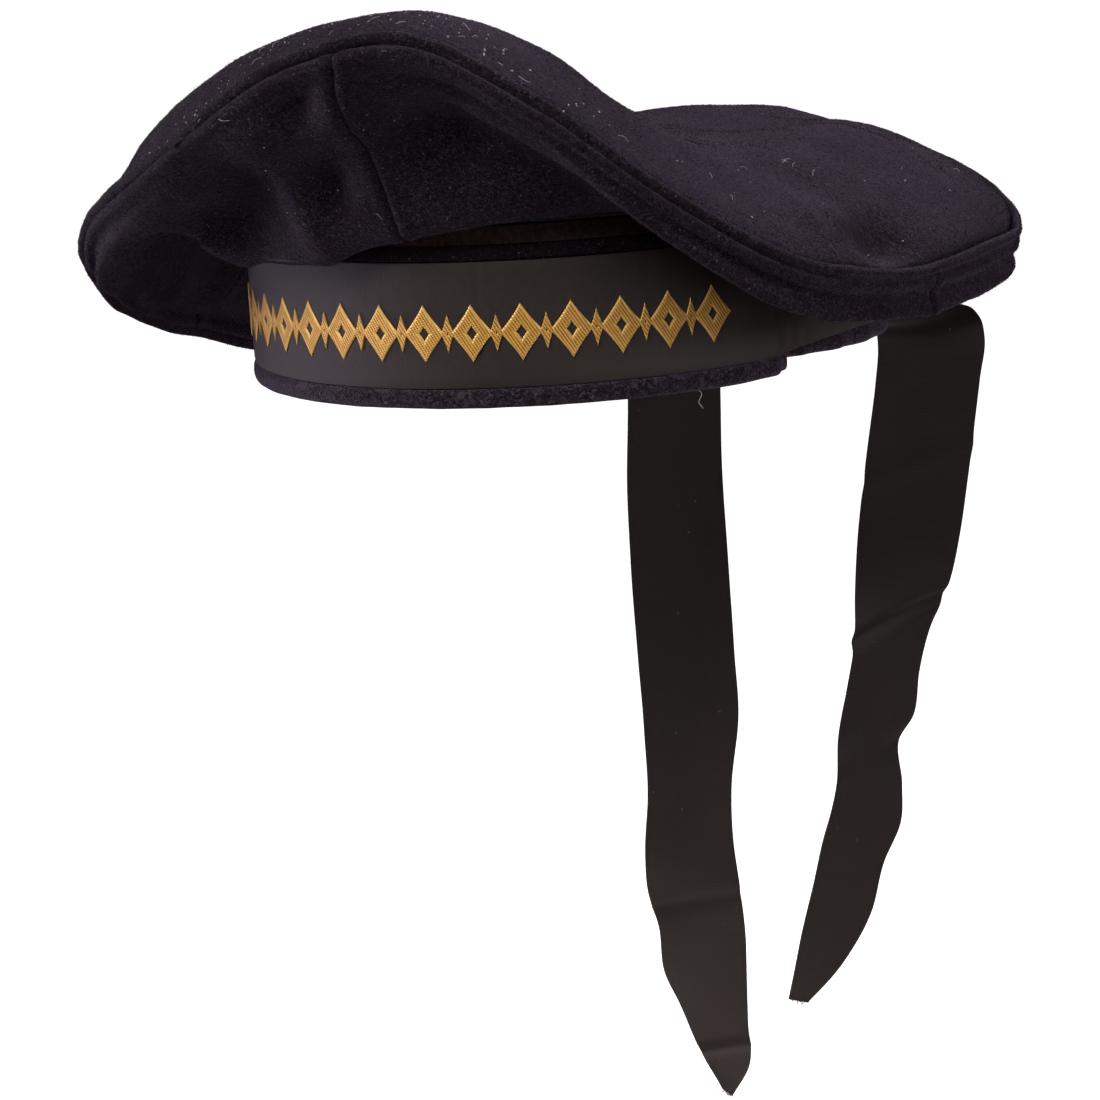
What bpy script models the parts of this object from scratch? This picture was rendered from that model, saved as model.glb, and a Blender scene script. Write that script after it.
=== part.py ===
"""A soft sailor's plate cap with a ribbon round its band and two hanging ribbon tails.

Metres, +Z up, front towards -Y, right towards +X. The origin is the middle of the head opening,
in the plane of the band's lower edge. Each piece of cloth is one closed solid with its own name.
"""

import math
from typing import NamedTuple

import bmesh
import bpy
import numpy as np

# Driving sizes of the band
BAND_HALF_WIDTH = 0.0840
BAND_HALF_LENGTH = 0.0953
BAND_WALL = 0.0025
BAND_TOP = 0.0452
BAND_FOOT = 0.0042
BRIDGE_DEPTH = 0.0064
FOLD_DEPTH = 0.0125

# Driving sizes of the ribbon and of the trims round the band
RIBBON_WIDTH = 0.032
RIBBON_FOOT = 0.0040
RIBBON_THICKNESS = 0.0010
WELT_FOOT = 0.0365
WELT_HEIGHT = 0.0035
WELT_DEPTH = 0.0014
TAPE_FOOT = 0.0404
TAPE_HEIGHT = 0.0045
TAPE_THICKNESS = 0.0008
ROLL_FOOT = -0.0014
ROLL_HEIGHT = 0.0053
ROLL_DEPTH = 0.0044
ROLL_OUT = -0.0004

# Driving sizes of the crown
PLATE_HALF_WIDTH = 0.1285
PLATE_HALF_LENGTH = 0.1360
PLATE_SHIFT = -0.0040
CROWN_RISE = 0.1000
CENTRE_HEIGHT = 0.0600
CLOTH = 0.0020
EDGE_BACK = 0.0031
EDGE_SIDE = 0.00425
MOUTH_RISE = 0.0006
LIP_OUT = 0.0028
LIP_RISE = 0.0010

# Driving sizes of the knot and the tails behind the band, and the tails' turn in degrees
KNOT_WIDTH = 0.0260
KNOT_HEIGHT = 0.0260
KNOT_DEPTH = 0.0048
KNOT_BEVEL = 0.0014
KNOT_FOOT = 0.0050
TAIL_BACK = 0.0027
TAIL_HEIGHT = 0.0140
TAIL_TURN = 27.0

# Clearance between neighbouring pieces
GAP = 0.0003

# Steps round the ring in degrees, up the band, round a welt, and along a tail between two rows
STEP_ANGLE = 4.6
STEPS_BAND = 3
STEPS_WELT = 5
STEPS_TAIL = 2

# Steps along each span of a crown section, from the mouth to the centre: six lead to the rim
SPAN_STEPS = (1, 1, 3, 3, 1, 1, 1, 2, 2, 1, 1, 1)
RIM_PLACE = sum(SPAN_STEPS[:6])

# Degrees to either side over which a face's direction is taken, and above which an edge is sharp
FACING_STEP = 1.0
SHARP_ANGLE = 50.0


class Section(NamedTuple):
    """The crown's cross-section at one angle round the band.

    Reaches are shares of the way from the band out to the plate's ellipse, heights are shares of
    CROWN_RISE, and tilt is the direction in degrees in which the rim's edge points.
    """

    angle: float
    belly_reach: float
    belly_height: float
    hollow_reach: float
    hollow_height: float
    roll_reach: float
    roll_height: float
    rim_reach: float
    rim_height: float
    tilt: float
    shoulder: float
    outer: float
    middle: float
    inner: float


# One row for each section: belly, hollow and roll of the underside, the rim, then the plate
SECTIONS = (
    #       angle  belly       hollow      roll        rim         tilt  shoulder outer middle inner
    Section(0, 0.20, 0.44, 0.50, 0.31, 0.94, 0.17, 1.00, 0.26, 0, 0.40, 0.53, 0.58, 0.59),
    Section(20, 0.20, 0.44, 0.50, 0.32, 0.93, 0.17, 0.98, 0.255, 0, 0.39, 0.53, 0.57, 0.59),
    Section(42, 0.20, 0.44, 0.50, 0.35, 0.90, 0.22, 0.98, 0.32, 0, 0.425, 0.55, 0.56, 0.58),
    Section(65, 0.20, 0.44, 0.50, 0.40, 0.88, 0.33, 0.99, 0.425, 0, 0.49, 0.545, 0.55, 0.58),
    Section(90, 0.20, 0.46, 0.50, 0.43, 0.88, 0.39, 1.00, 0.49, 5, 0.55, 0.56, 0.55, 0.58),
    Section(115, 0.20, 0.46, 0.50, 0.36, 0.84, 0.24, 1.00, 0.32, -10, 0.47, 0.545, 0.57, 0.59),
    Section(137, 0.20, 0.43, 0.50, 0.26, 0.76, 0.13, 0.98, 0.08, -75, 0.39, 0.55, 0.58, 0.59),
    Section(156, 0.20, 0.42, 0.48, 0.20, 0.74, 0.04, 0.94, -0.09, -128, 0.29, 0.54, 0.58, 0.59),
    Section(173, 0.20, 0.42, 0.48, 0.24, 0.76, 0.10, 0.96, 0.00, -125, 0.31, 0.54, 0.59, 0.60),
    Section(190, 0.20, 0.42, 0.50, 0.29, 0.80, 0.165, 1.00, 0.13, -85, 0.37, 0.55, 0.60, 0.61),
    Section(207, 0.18, 0.40, 0.50, 0.35, 0.91, 0.235, 1.00, 0.32, -20, 0.49, 0.59, 0.63, 0.62),
    Section(222, 0.17, 0.37, 0.46, 0.42, 0.90, 0.36, 0.95, 0.46, 10, 0.60, 0.655, 0.67, 0.63),
    Section(238, 0.17, 0.36, 0.42, 0.475, 0.88, 0.50, 0.96, 0.575, 15, 0.735, 0.775, 0.73, 0.65),
    Section(254, 0.18, 0.36, 0.48, 0.57, 0.88, 0.65, 0.99, 0.738, 20, 0.87, 0.895, 0.80, 0.67),
    Section(270, 0.15, 0.425, 0.54, 0.66, 0.92, 0.80, 1.00, 0.90, 25, 0.965, 0.965, 0.84, 0.69),
    Section(283, 0.14, 0.45, 0.46, 0.75, 0.93, 0.855, 1.00, 0.935, 25, 0.99, 0.975, 0.84, 0.69),
    Section(296, 0.14, 0.47, 0.45, 0.64, 0.93, 0.69, 1.00, 0.775, 15, 0.86, 0.89, 0.80, 0.68),
    Section(310, 0.16, 0.47, 0.48, 0.47, 0.93, 0.435, 1.00, 0.525, 5, 0.63, 0.72, 0.70, 0.65),
    Section(325, 0.20, 0.45, 0.50, 0.35, 0.94, 0.22, 1.00, 0.32, 0, 0.45, 0.58, 0.62, 0.62),
    Section(342, 0.20, 0.44, 0.50, 0.31, 0.95, 0.16, 1.00, 0.25, 0, 0.39, 0.54, 0.58, 0.60),
)

# Shares of the plate's radius at which its four heights are given
SHOULDER_SHARE = 0.90
OUTER_SHARE = 0.70
MIDDLE_SHARE = 0.47
INNER_SHARE = 0.23


class Fold(NamedTuple):
    """A dent or a ridge in the crown's cloth.

    The place runs from 0 at the band's mouth over 1 at the rim to 2 at the plate's middle, the
    spreads are how far the fold reaches round and along the cloth, and the push is a share of
    FOLD_PUSH, outwards where it is positive.
    """

    angle: float
    place: float
    angle_spread: float
    place_spread: float
    push: float


FOLD_PUSH = 0.0100

FOLDS = (
    #    angle place spreads    push
    Fold(260, 0.45, 3.5, 0.28, 0.30),
    Fold(252, 0.70, 5.0, 0.22, -0.44),
    Fold(246, 0.46, 4.5, 0.16, -0.30),
    Fold(237, 0.46, 3.6, 0.18, 0.60),
    Fold(238, 0.60, 1.8, 0.26, 0.14),
    Fold(222, 0.42, 6.5, 0.16, -0.42),
    Fold(203, 0.44, 7.0, 0.16, -0.45),
    Fold(190, 0.80, 3.2, 0.16, 0.36),
    Fold(178, 0.75, 2.6, 0.22, 0.18),
    Fold(265, 0.46, 3.6, 0.13, -0.50),
    Fold(268, 0.84, 3.0, 0.08, -0.38),
    Fold(271, 0.80, 2.0, 0.12, 0.14),
    Fold(275, 0.58, 4.5, 0.20, 0.25),
    Fold(339, 1.09, 5.5, 0.055, -0.36),
    Fold(332, 1.12, 1.6, 0.08, 0.16),
    Fold(350, 1.06, 6.0, 0.05, 0.12),
    Fold(335, 1.26, 6.0, 0.08, -0.12),
    Fold(50, 1.48, 30.0, 0.13, -0.37),
    Fold(4, 1.40, 16.0, 0.12, 0.46),
    Fold(25, 1.66, 26.0, 0.10, -0.08),
    Fold(74, 1.14, 6.0, 0.12, -0.25),
)

# Angles of the four seams between the quarter panels
QUARTERS = (
    ("side_front_right", 273.0, 346.0),
    ("side_back_right", 346.0, 450.0),
    ("side_back_left", 90.0, 176.0),
    ("side_front_left", 176.0, 273.0),
)


class Dent(NamedTuple):
    """How far the band is pushed in at one angle.

    The bridge is a share of BRIDGE_DEPTH, which the ribbon follows too, and the fold a share of
    FOLD_DEPTH, which it bridges.
    """

    angle: float
    bridge: float
    fold: float


BAND_DENT = (
    #    angle bridge fold
    Dent(-32, 0.00, 0.00),
    Dent(-24, 0.14, 0.02),
    Dent(-19, 0.52, 0.16),
    Dent(-14, 0.84, 0.72),
    Dent(-8, 0.98, 1.00),
    Dent(-2, 1.00, 0.60),
    Dent(6, 0.78, 0.24),
    Dent(14, 0.34, 0.10),
    Dent(24, 0.00, 0.00),
)


class TailRow(NamedTuple):
    """Both edges of a ribbon tail at one place, as shares of RIBBON_WIDTH from the tails' root.

    Across runs to the right along TAIL_TURN, back runs away from the front, drop runs down, and
    sag is how much lower the middle hangs than the edges.
    """

    left_across: float
    left_back: float
    left_drop: float
    right_across: float
    right_back: float
    right_drop: float
    sag: float


# From the knot down to the slanted tip
TAIL_LEFT = (
    #       left              right              sag
    TailRow(-0.74, 0.36, 0.31, 0.12, 0.08, 0.31, 0.00),
    TailRow(-0.83, 0.27, 0.80, 0.07, 0.35, 0.80, 0.00),
    TailRow(-0.85, 0.24, 1.40, 0.05, 0.48, 1.40, 0.00),
    TailRow(-0.90, 0.24, 2.20, 0.03, 0.48, 2.20, 0.00),
    TailRow(-0.91, 0.26, 3.00, 0.04, 0.46, 3.00, 0.00),
    TailRow(-0.89, 0.24, 4.00, 0.06, 0.48, 4.00, 0.00),
    TailRow(-0.87, 0.20, 4.65, 0.07, 0.52, 4.65, 0.00),
    TailRow(-0.87, 0.16, 5.35, -0.03, 0.56, 5.40, 0.00),
    TailRow(-0.93, 0.20, 5.95, -0.04, 0.54, 5.95, 0.00),
    TailRow(-0.92, 0.26, 6.32, 0.00, 0.50, 6.45, 0.00),
    TailRow(-0.83, 0.26, 6.70, 0.03, 0.50, 6.90, 0.00),
    TailRow(-0.80, 0.30, 7.18, 0.02, 0.48, 7.40, 0.00),
    TailRow(-0.66, 0.34, 7.55, 0.01, 0.44, 7.80, 0.00),
    TailRow(-0.48, 0.34, 8.05, 0.00, 0.42, 8.25, 0.00),
    TailRow(-0.28, 0.34, 8.45, -0.19, 0.38, 8.55, 0.00),
)

# From the knot round the back of the band, over a crest, and down to the slanted tip
TAIL_RIGHT = (
    #       left               right             sag
    TailRow(0.40, -0.17, 0.45, 0.40, -0.13, -0.50, 0.00),
    TailRow(0.86, -0.50, 0.52, 1.14, -0.23, -0.08, 0.00),
    TailRow(1.20, -1.00, 0.54, 1.80, -0.66, 0.28, 0.00),
    TailRow(1.24, -1.45, 0.54, 2.05, -1.12, 0.44, 0.02),
    TailRow(1.28, -1.66, 0.56, 2.15, -1.38, 0.47, 0.05),
    TailRow(1.33, -1.86, 0.58, 2.26, -1.65, 0.51, 0.08),
    TailRow(1.34, -1.91, 0.64, 2.30, -1.71, 0.58, 0.08),
    TailRow(1.34, -1.93, 0.74, 2.32, -1.74, 0.72, 0.05),
    TailRow(1.31, -1.90, 1.05, 2.27, -1.71, 1.10, 0.00),
    TailRow(1.19, -1.87, 1.80, 2.15, -1.69, 1.90, 0.00),
    TailRow(1.09, -1.85, 2.50, 2.04, -1.72, 2.50, 0.00),
    TailRow(1.04, -1.92, 3.00, 1.91, -1.64, 3.05, 0.00),
    TailRow(1.01, -2.04, 3.38, 1.76, -1.50, 3.42, 0.00),
    TailRow(0.92, -2.08, 3.82, 1.64, -1.48, 3.85, 0.00),
    TailRow(0.82, -2.05, 4.32, 1.57, -1.50, 4.25, 0.00),
    TailRow(0.79, -2.12, 4.68, 1.43, -1.43, 4.50, 0.00),
    TailRow(0.73, -2.08, 4.95, 1.44, -1.46, 4.92, 0.00),
    TailRow(0.65, -2.05, 5.22, 1.42, -1.50, 5.24, 0.00),
    TailRow(0.54, -2.02, 5.65, 1.24, -1.55, 5.62, 0.00),
    TailRow(0.41, -2.00, 6.12, 1.09, -1.58, 6.10, 0.00),
    TailRow(0.33, -1.95, 6.50, 0.80, -1.68, 6.55, 0.00),
    TailRow(0.27, -1.88, 6.80, 0.45, -1.76, 6.88, 0.00),
)


class Cloth(NamedTuple):
    """A material: its name, colour and roughness."""

    name: str
    colour: tuple
    roughness: float


WOOL = Cloth("navy_wool", (0.012, 0.010, 0.022), 0.95)
SILK = Cloth("black_ribbon", (0.012, 0.010, 0.009), 0.55)
SATIN = Cloth("black_tape", (0.010, 0.010, 0.014), 0.45)


def hermite(start, end, start_slope, end_slope, share):
    """Return the cubic Hermite blend between two values for a share from 0 to 1."""
    square = share * share
    cube = square * share
    return (
        (2 * cube - 3 * square + 1) * start
        + (cube - 2 * square + share) * start_slope
        + (3 * square - 2 * cube) * end
        + (cube - square) * end_slope
    )


def section_row(angle):
    """Return every length of the section table at an angle in degrees, smooth round the ring."""
    rows = np.array(SECTIONS, float)
    angles = rows[:, 0]
    count = len(rows)
    angle = angle % 360.0
    index = int(np.searchsorted(angles, angle, side="right")) - 1

    def knot(offset):
        turns, place = divmod(index + offset, count)
        return angles[place] + 360.0 * turns, rows[place, 1:]

    (a0, r0), (a1, r1), (a2, r2), (a3, r3) = (knot(offset) for offset in (-1, 0, 1, 2))
    step = a2 - a1
    before, here, after = (r1 - r0) / (a1 - a0), (r2 - r1) / step, (r3 - r2) / (a3 - a2)
    slope1 = (before * step + here * (a1 - a0)) / (a2 - a0)
    slope2 = (here * (a3 - a2) + after * step) / (a3 - a1)
    values = hermite(r1, r2, slope1 * step, slope2 * step, (angle - a1) / step)
    return Section(angle, *values)


def ellipse_point(half_width, half_length, angle, shift=0.0):
    """Return the plan point of an ellipse at an angle in degrees."""
    turn = math.radians(angle)
    return np.array((shift + half_width * math.cos(turn), half_length * math.sin(turn)))


def plate_point(angle):
    """Return the plan point of the plate's ellipse at an angle."""
    return ellipse_point(PLATE_HALF_WIDTH, PLATE_HALF_LENGTH, angle, PLATE_SHIFT)


def dent_shares(angle):
    """Return the band's bridge and fold at an angle, as shares of their depths."""
    turn = (angle + 180.0) % 360.0 - 180.0
    rows = BAND_DENT
    if not rows[0].angle < turn < rows[-1].angle:
        return 0.0, 0.0
    index = max(i for i, row in enumerate(rows) if row.angle <= turn)
    low, high = rows[index], rows[index + 1]
    share = (turn - low.angle) / (high.angle - low.angle)
    return (
        hermite(low.bridge, high.bridge, 0.0, 0.0, share),
        hermite(low.fold, high.fold, 0.0, 0.0, share),
    )


def band_point(angle, height, out=0.0):
    """Return the plan point of the band's outer face, moved out by a distance.

    The fold is deepest at the band's foot and fades out at its top.
    """
    bridge, fold = dent_shares(angle)
    fade = max(0.0, 1.0 - height / BAND_TOP) ** 2
    start = out - BRIDGE_DEPTH * bridge - FOLD_DEPTH * fold * fade
    return ellipse_point(BAND_HALF_WIDTH + start, BAND_HALF_LENGTH + start, angle)


def ribbon_point(angle, out=0.0):
    """Return the plan point of the ribbon's inner face, which bridges the band's fold."""
    bridge, _ = dent_shares(angle)
    start = GAP + out - BRIDGE_DEPTH * bridge
    return ellipse_point(BAND_HALF_WIDTH + start, BAND_HALF_LENGTH + start, angle)


def section_knots(angle):
    """Return the knots of one section of the crown, from the band's mouth to the plate's inside."""
    row = section_row(angle)
    base = band_point(angle, BAND_TOP)
    edge = plate_point(angle)
    outward = (edge - base) / np.linalg.norm(edge - base)

    def under(reach, height, out=0.0):
        plan = base + reach * (edge - base) + outward * out
        return np.array((plan[0], plan[1], height))

    rim = under(row.rim_reach, row.rim_height * CROWN_RISE)
    tip = math.radians(row.tilt)
    back = np.array((outward[0] * math.cos(tip), outward[1] * math.cos(tip), math.sin(tip)))
    side = np.array((-outward[0] * math.sin(tip), -outward[1] * math.sin(tip), math.cos(tip)))
    middle = np.array((PLATE_SHIFT, 0.0))

    def over(share, height):
        plan = middle + share * (rim[:2] - middle)
        return np.array((plan[0], plan[1], height * CROWN_RISE))

    knots = [
        under(0.0, BAND_TOP + MOUTH_RISE),
        under(0.0, BAND_TOP + MOUTH_RISE + LIP_RISE, LIP_OUT),
        under(row.belly_reach, row.belly_height * CROWN_RISE),
        under(row.hollow_reach, row.hollow_height * CROWN_RISE),
        under(row.roll_reach, row.roll_height * CROWN_RISE),
        rim - EDGE_BACK * back - EDGE_SIDE * side,
        rim,
        rim - EDGE_BACK * back + EDGE_SIDE * side,
        over(SHOULDER_SHARE, row.shoulder),
        over(OUTER_SHARE, row.outer),
        over(MIDDLE_SHARE, row.middle),
        over(INNER_SHARE, row.inner),
    ]
    return np.array(knots)


def spline(points, steps):
    """Return a smooth curve through points, with a number of steps for each span."""
    points = np.asarray(points, float)
    chords = np.linalg.norm(np.diff(points, axis=0), axis=1)
    slopes = np.diff(points, axis=0) / chords[:, None]
    tangents = np.empty_like(points)
    tangents[0], tangents[-1] = slopes[0], slopes[-1]
    for i in range(1, len(points) - 1):
        low, high = chords[i - 1], chords[i]
        tangents[i] = (slopes[i - 1] * high + slopes[i] * low) / (low + high)
    curve = []
    for i, count in enumerate(steps):
        for k in range(count):
            curve.append(
                hermite(
                    points[i],
                    points[i + 1],
                    tangents[i] * chords[i],
                    tangents[i + 1] * chords[i],
                    k / count,
                )
            )
    curve.append(points[len(steps)])
    return np.array(curve)


def section_curve(angle):
    """Return the smooth curve of one section from the mouth to the plate's centre."""
    centre = np.array((PLATE_SHIFT, 0.0, CENTRE_HEIGHT))
    across = section_knots(angle + 180.0)
    points = np.vstack([section_knots(angle), centre, across[-1]])
    return spline(points, SPAN_STEPS)


def fold_push(angle, place):
    """Return how far the folds push the cloth out at an angle and a place along it."""
    push = 0.0
    for fold in FOLDS:
        turn = (angle - fold.angle + 180.0) % 360.0 - 180.0
        far = (turn / fold.angle_spread) ** 2 + ((place - fold.place) / fold.place_spread) ** 2
        push += fold.push * math.exp(-far)
    return push * FOLD_PUSH


def cloth_places(curve):
    """Return each point's place along a section, from 0 over 1 at the rim to 2."""
    lengths = np.concatenate([[0.0], np.cumsum(np.linalg.norm(np.diff(curve, axis=0), axis=1))])
    under = lengths[RIM_PLACE]
    beyond = 1.0 + (lengths - under) / (lengths[-1] - under)
    return np.where(lengths <= under, lengths / under, beyond)


def material(cloth):
    """Return the Principled material of a cloth, made once."""
    made = bpy.data.materials.get(cloth.name)
    if made is None:
        made = bpy.data.materials.new(cloth.name)
        made.use_nodes = True
        shader = made.node_tree.nodes["Principled BSDF"]
        shader.inputs["Base Color"].default_value = (*cloth.colour, 1.0)
        shader.inputs["Roughness"].default_value = cloth.roughness
    return made


def add_object(name, vertices, faces, cloth):
    """Add one named object from its vertices and faces, shaded smooth, facing out."""
    mesh = bpy.data.meshes.new(name)
    mesh.from_pydata([tuple(point) for point in vertices], [], faces)
    shape = bmesh.new()
    shape.from_mesh(mesh)
    bmesh.ops.recalc_face_normals(shape, faces=shape.faces)
    shape.to_mesh(mesh)
    shape.free()
    mesh.shade_smooth()
    mesh.set_sharp_from_angle(angle=math.radians(SHARP_ANGLE))
    mesh.materials.append(material(cloth))
    item = bpy.data.objects.new(name, mesh)
    bpy.context.collection.objects.link(item)
    return item


def wall(name, outer, inner, closed, cloth):
    """Add a cloth wall between two grids of points of the same shape.

    Args:
        outer: the outer face's points, by row and by column.
        inner: the inner face's points.
        closed: whether the last row joins the first.
    """
    rows, columns = outer.shape[:2]
    vertices = np.concatenate([outer.reshape(-1, 3), inner.reshape(-1, 3)])
    back = rows * columns

    def at(row, column, side):
        return (row % rows) * columns + column + side * back

    faces = []
    for i in range(rows if closed else rows - 1):
        for k in range(columns - 1):
            faces.append((at(i, k, 0), at(i + 1, k, 0), at(i + 1, k + 1, 0), at(i, k + 1, 0)))
            faces.append((at(i, k, 1), at(i, k + 1, 1), at(i + 1, k + 1, 1), at(i + 1, k, 1)))
        for k in (0, columns - 1):
            faces.append((at(i, k, 0), at(i, k, 1), at(i + 1, k, 1), at(i + 1, k, 0)))
    if not closed:
        for i in (0, rows - 1):
            for k in range(columns - 1):
                faces.append((at(i, k, 0), at(i, k + 1, 0), at(i, k + 1, 1), at(i, k, 1)))
    return add_object(name, vertices, faces, cloth)


def ring_tube(name, centre, half_out, half_up, height, cloth):
    """Add a closed tube round the band, from a function that gives its plan at an offset."""
    angles = ring_angles()
    vertices = []
    for angle in angles:
        for step in range(STEPS_WELT):
            turn = math.tau * (step + 0.5) / STEPS_WELT
            level = height + half_up * math.sin(turn)
            plan = centre(angle, level, half_out * math.cos(turn))
            vertices.append((plan[0], plan[1], level))
    count, sides = len(angles), STEPS_WELT
    faces = [
        (
            i * sides + k,
            i * sides + (k + 1) % sides,
            ((i + 1) % count) * sides + (k + 1) % sides,
            ((i + 1) % count) * sides + k,
        )
        for i in range(count)
        for k in range(sides)
    ]
    return add_object(name, vertices, faces, cloth)


def quarter_angles(start, end):
    """Return evenly spaced angles from one seam to the next."""
    return np.linspace(start, end, 1 + round((end - start) / STEP_ANGLE))


def ring_angles():
    """Return the angles round the whole ring, with each seam among them."""
    rows = [quarter_angles(start, end)[:-1] for _, start, end in QUARTERS]
    return np.sort(np.concatenate(rows) % 360.0)


def crown_grids(angles):
    """Return the crown's outer and inner points at some angles, by angle and by place."""
    half = GAP / 2
    outer, inner = [], []
    for angle in angles:
        curve = section_curve(angle)
        ahead = section_curve(angle + FACING_STEP)
        behind = section_curve(angle - FACING_STEP)
        along = np.gradient(curve, axis=0)
        round_ring = ahead - behind
        round_ring[-1] = round_ring[-2]
        normal = np.cross(round_ring, along)
        normal /= np.linalg.norm(normal, axis=1)[:, None]
        push = np.array([fold_push(angle, place) for place in cloth_places(curve)])
        curve = curve + normal * push[:, None]
        tangent = along[RIM_PLACE] / np.linalg.norm(along[RIM_PLACE])
        before, after = curve[RIM_PLACE] - tangent * half, curve[RIM_PLACE] + tangent * half
        curve = np.vstack([curve[:RIM_PLACE], before, after, curve[RIM_PLACE + 1 :]])
        normal = np.vstack([normal[: RIM_PLACE + 1], normal[RIM_PLACE:]])
        outer.append(curve)
        inner.append(curve - normal * CLOTH)
    return np.array(outer), np.array(inner)


def make_crown_top():
    """Add the crown's round top plate, a disc whose middle is one point on each face."""
    outer, inner = crown_grids(ring_angles())
    outer, inner = outer[:, RIM_PLACE + 1 :], inner[:, RIM_PLACE + 1 :]
    rows, columns = outer.shape[0], outer.shape[1] - 1
    vertices = np.concatenate([outer[:, :-1].reshape(-1, 3), inner[:, :-1].reshape(-1, 3)])
    top, under = len(vertices), len(vertices) + 1
    middle = outer[0, -1]
    vertices = np.vstack([vertices, middle, middle - (0.0, 0.0, CLOTH)])
    back = rows * columns
    faces = []
    for i in range(rows):
        j = (i + 1) % rows
        for k in range(columns - 1):
            low, high = i * columns + k, j * columns + k
            faces.append((low, high, high + 1, low + 1))
            faces.append((low + back, low + 1 + back, high + 1 + back, high + back))
        faces.append((i * columns, i * columns + back, j * columns + back, j * columns))
        last, next_last = i * columns + columns - 1, j * columns + columns - 1
        faces.append((last, next_last, top))
        faces.append((last + back, under, next_last + back))
    return add_object("crown_top", vertices, faces, WOOL)


def make_sides():
    """Add the four quarter panels of the crown's underside, with a gap at each seam."""
    inset = math.degrees(GAP / 2 / BAND_HALF_WIDTH)
    for name, start, end in QUARTERS:
        angles = quarter_angles(start, end)
        angles[0] += inset
        angles[-1] -= inset
        outer, inner = crown_grids(angles)
        wall(name, outer[:, : RIM_PLACE + 1], inner[:, : RIM_PLACE + 1], False, WOOL)


def upright_ring(name, place, levels, thickness, cloth):
    """Add an upright ring whose inner face follows a function of angle, height and offset."""
    angles = ring_angles()
    inner = np.array([[(*place(a, z, 0.0), z) for z in levels] for a in angles])
    outer = np.array([[(*place(a, z, thickness), z) for z in levels] for a in angles])
    return wall(name, outer, inner, True, cloth)


def make_band():
    """Add the upright band, its lower roll, its upper welt and the tape above it."""
    upright_ring(
        "head_band",
        lambda angle, level, out: band_point(angle, level, out - BAND_WALL),
        np.linspace(BAND_FOOT, BAND_TOP, 1 + STEPS_BAND),
        BAND_WALL,
        WOOL,
    )
    ring_tube(
        "band_lower_welt",
        lambda angle, level, out: band_point(angle, 0.0, ROLL_OUT + out),
        ROLL_DEPTH / 2,
        ROLL_HEIGHT / 2,
        ROLL_FOOT + ROLL_HEIGHT / 2,
        WOOL,
    )
    ring_tube(
        "band_upper_welt",
        lambda angle, level, out: band_point(angle, level, GAP + WELT_DEPTH / 2 + out),
        WELT_DEPTH / 2,
        WELT_HEIGHT / 2,
        WELT_FOOT + WELT_HEIGHT / 2,
        WOOL,
    )
    upright_ring(
        "seam_tape",
        lambda angle, level, out: band_point(angle, level, GAP + out),
        (TAPE_FOOT, TAPE_FOOT + TAPE_HEIGHT),
        TAPE_THICKNESS,
        SATIN,
    )


def make_ribbon_loop():
    """Add the ribbon round the band."""
    upright_ring(
        "ribbon_loop",
        lambda angle, level, out: ribbon_point(angle, out),
        (RIBBON_FOOT, RIBBON_FOOT + RIBBON_WIDTH),
        RIBBON_THICKNESS,
        SILK,
    )


def make_ribbon_knot():
    """Add the knot behind the band, a plain block with rounded edges."""
    shape = bmesh.new()
    bmesh.ops.create_cube(shape, size=1.0)
    bmesh.ops.scale(shape, vec=(KNOT_WIDTH, KNOT_DEPTH, KNOT_HEIGHT), verts=shape.verts)
    bmesh.ops.bevel(
        shape,
        geom=shape.edges[:],
        offset=KNOT_BEVEL,
        segments=2,
        affect="EDGES",
    )
    back = BAND_HALF_LENGTH + GAP + RIBBON_THICKNESS + GAP + KNOT_DEPTH / 2
    middle = (0.0, back, KNOT_FOOT + KNOT_HEIGHT / 2)
    bmesh.ops.translate(shape, vec=middle, verts=shape.verts)
    mesh = bpy.data.meshes.new("ribbon_knot")
    shape.to_mesh(mesh)
    shape.free()
    mesh.shade_smooth()
    mesh.materials.append(material(SILK))
    bpy.context.collection.objects.link(bpy.data.objects.new("ribbon_knot", mesh))


def tail_point(across, back, drop):
    """Return the place of a point given in ribbon widths from the tails' root."""
    turn = math.radians(TAIL_TURN)
    root = np.array((0.0, BAND_HALF_LENGTH + TAIL_BACK, TAIL_HEIGHT))
    side = np.array((math.cos(turn), math.sin(turn), 0.0))
    away = np.array((-math.sin(turn), math.cos(turn), 0.0))
    return root + RIBBON_WIDTH * (across * side + back * away - drop * np.array((0.0, 0.0, 1.0)))


def make_tail(name, rows):
    """Add one ribbon tail, a thin sheet with its left edge, middle and right edge."""
    left = [tail_point(row.left_across, row.left_back, row.left_drop) for row in rows]
    right = [tail_point(row.right_across, row.right_back, row.right_drop) for row in rows]
    sag = [np.array((0.0, 0.0, -row.sag * RIBBON_WIDTH)) for row in rows]
    middle = [(a + b) / 2 + low for a, b, low in zip(left, right, sag)]
    steps = [STEPS_TAIL] * (len(rows) - 1)
    face = np.stack([spline(edge, steps) for edge in (left, middle, right)], axis=1)
    along = np.gradient(face, axis=0)
    across = np.gradient(face, axis=1)
    normal = np.cross(along, across)
    normal /= np.linalg.norm(normal, axis=2)[..., None]
    half = normal * RIBBON_THICKNESS / 2
    wall(name, face + half, face - half, False, SILK)


def main():
    """Clear the scene and model the cap."""
    for item in list(bpy.data.objects):
        bpy.data.objects.remove(item)
    make_crown_top()
    make_sides()
    make_band()
    make_ribbon_loop()
    make_ribbon_knot()
    make_tail("ribbon_tail_left", TAIL_LEFT)
    make_tail("ribbon_tail_right", TAIL_RIGHT)


if __name__ == "__main__":
    main()
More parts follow.
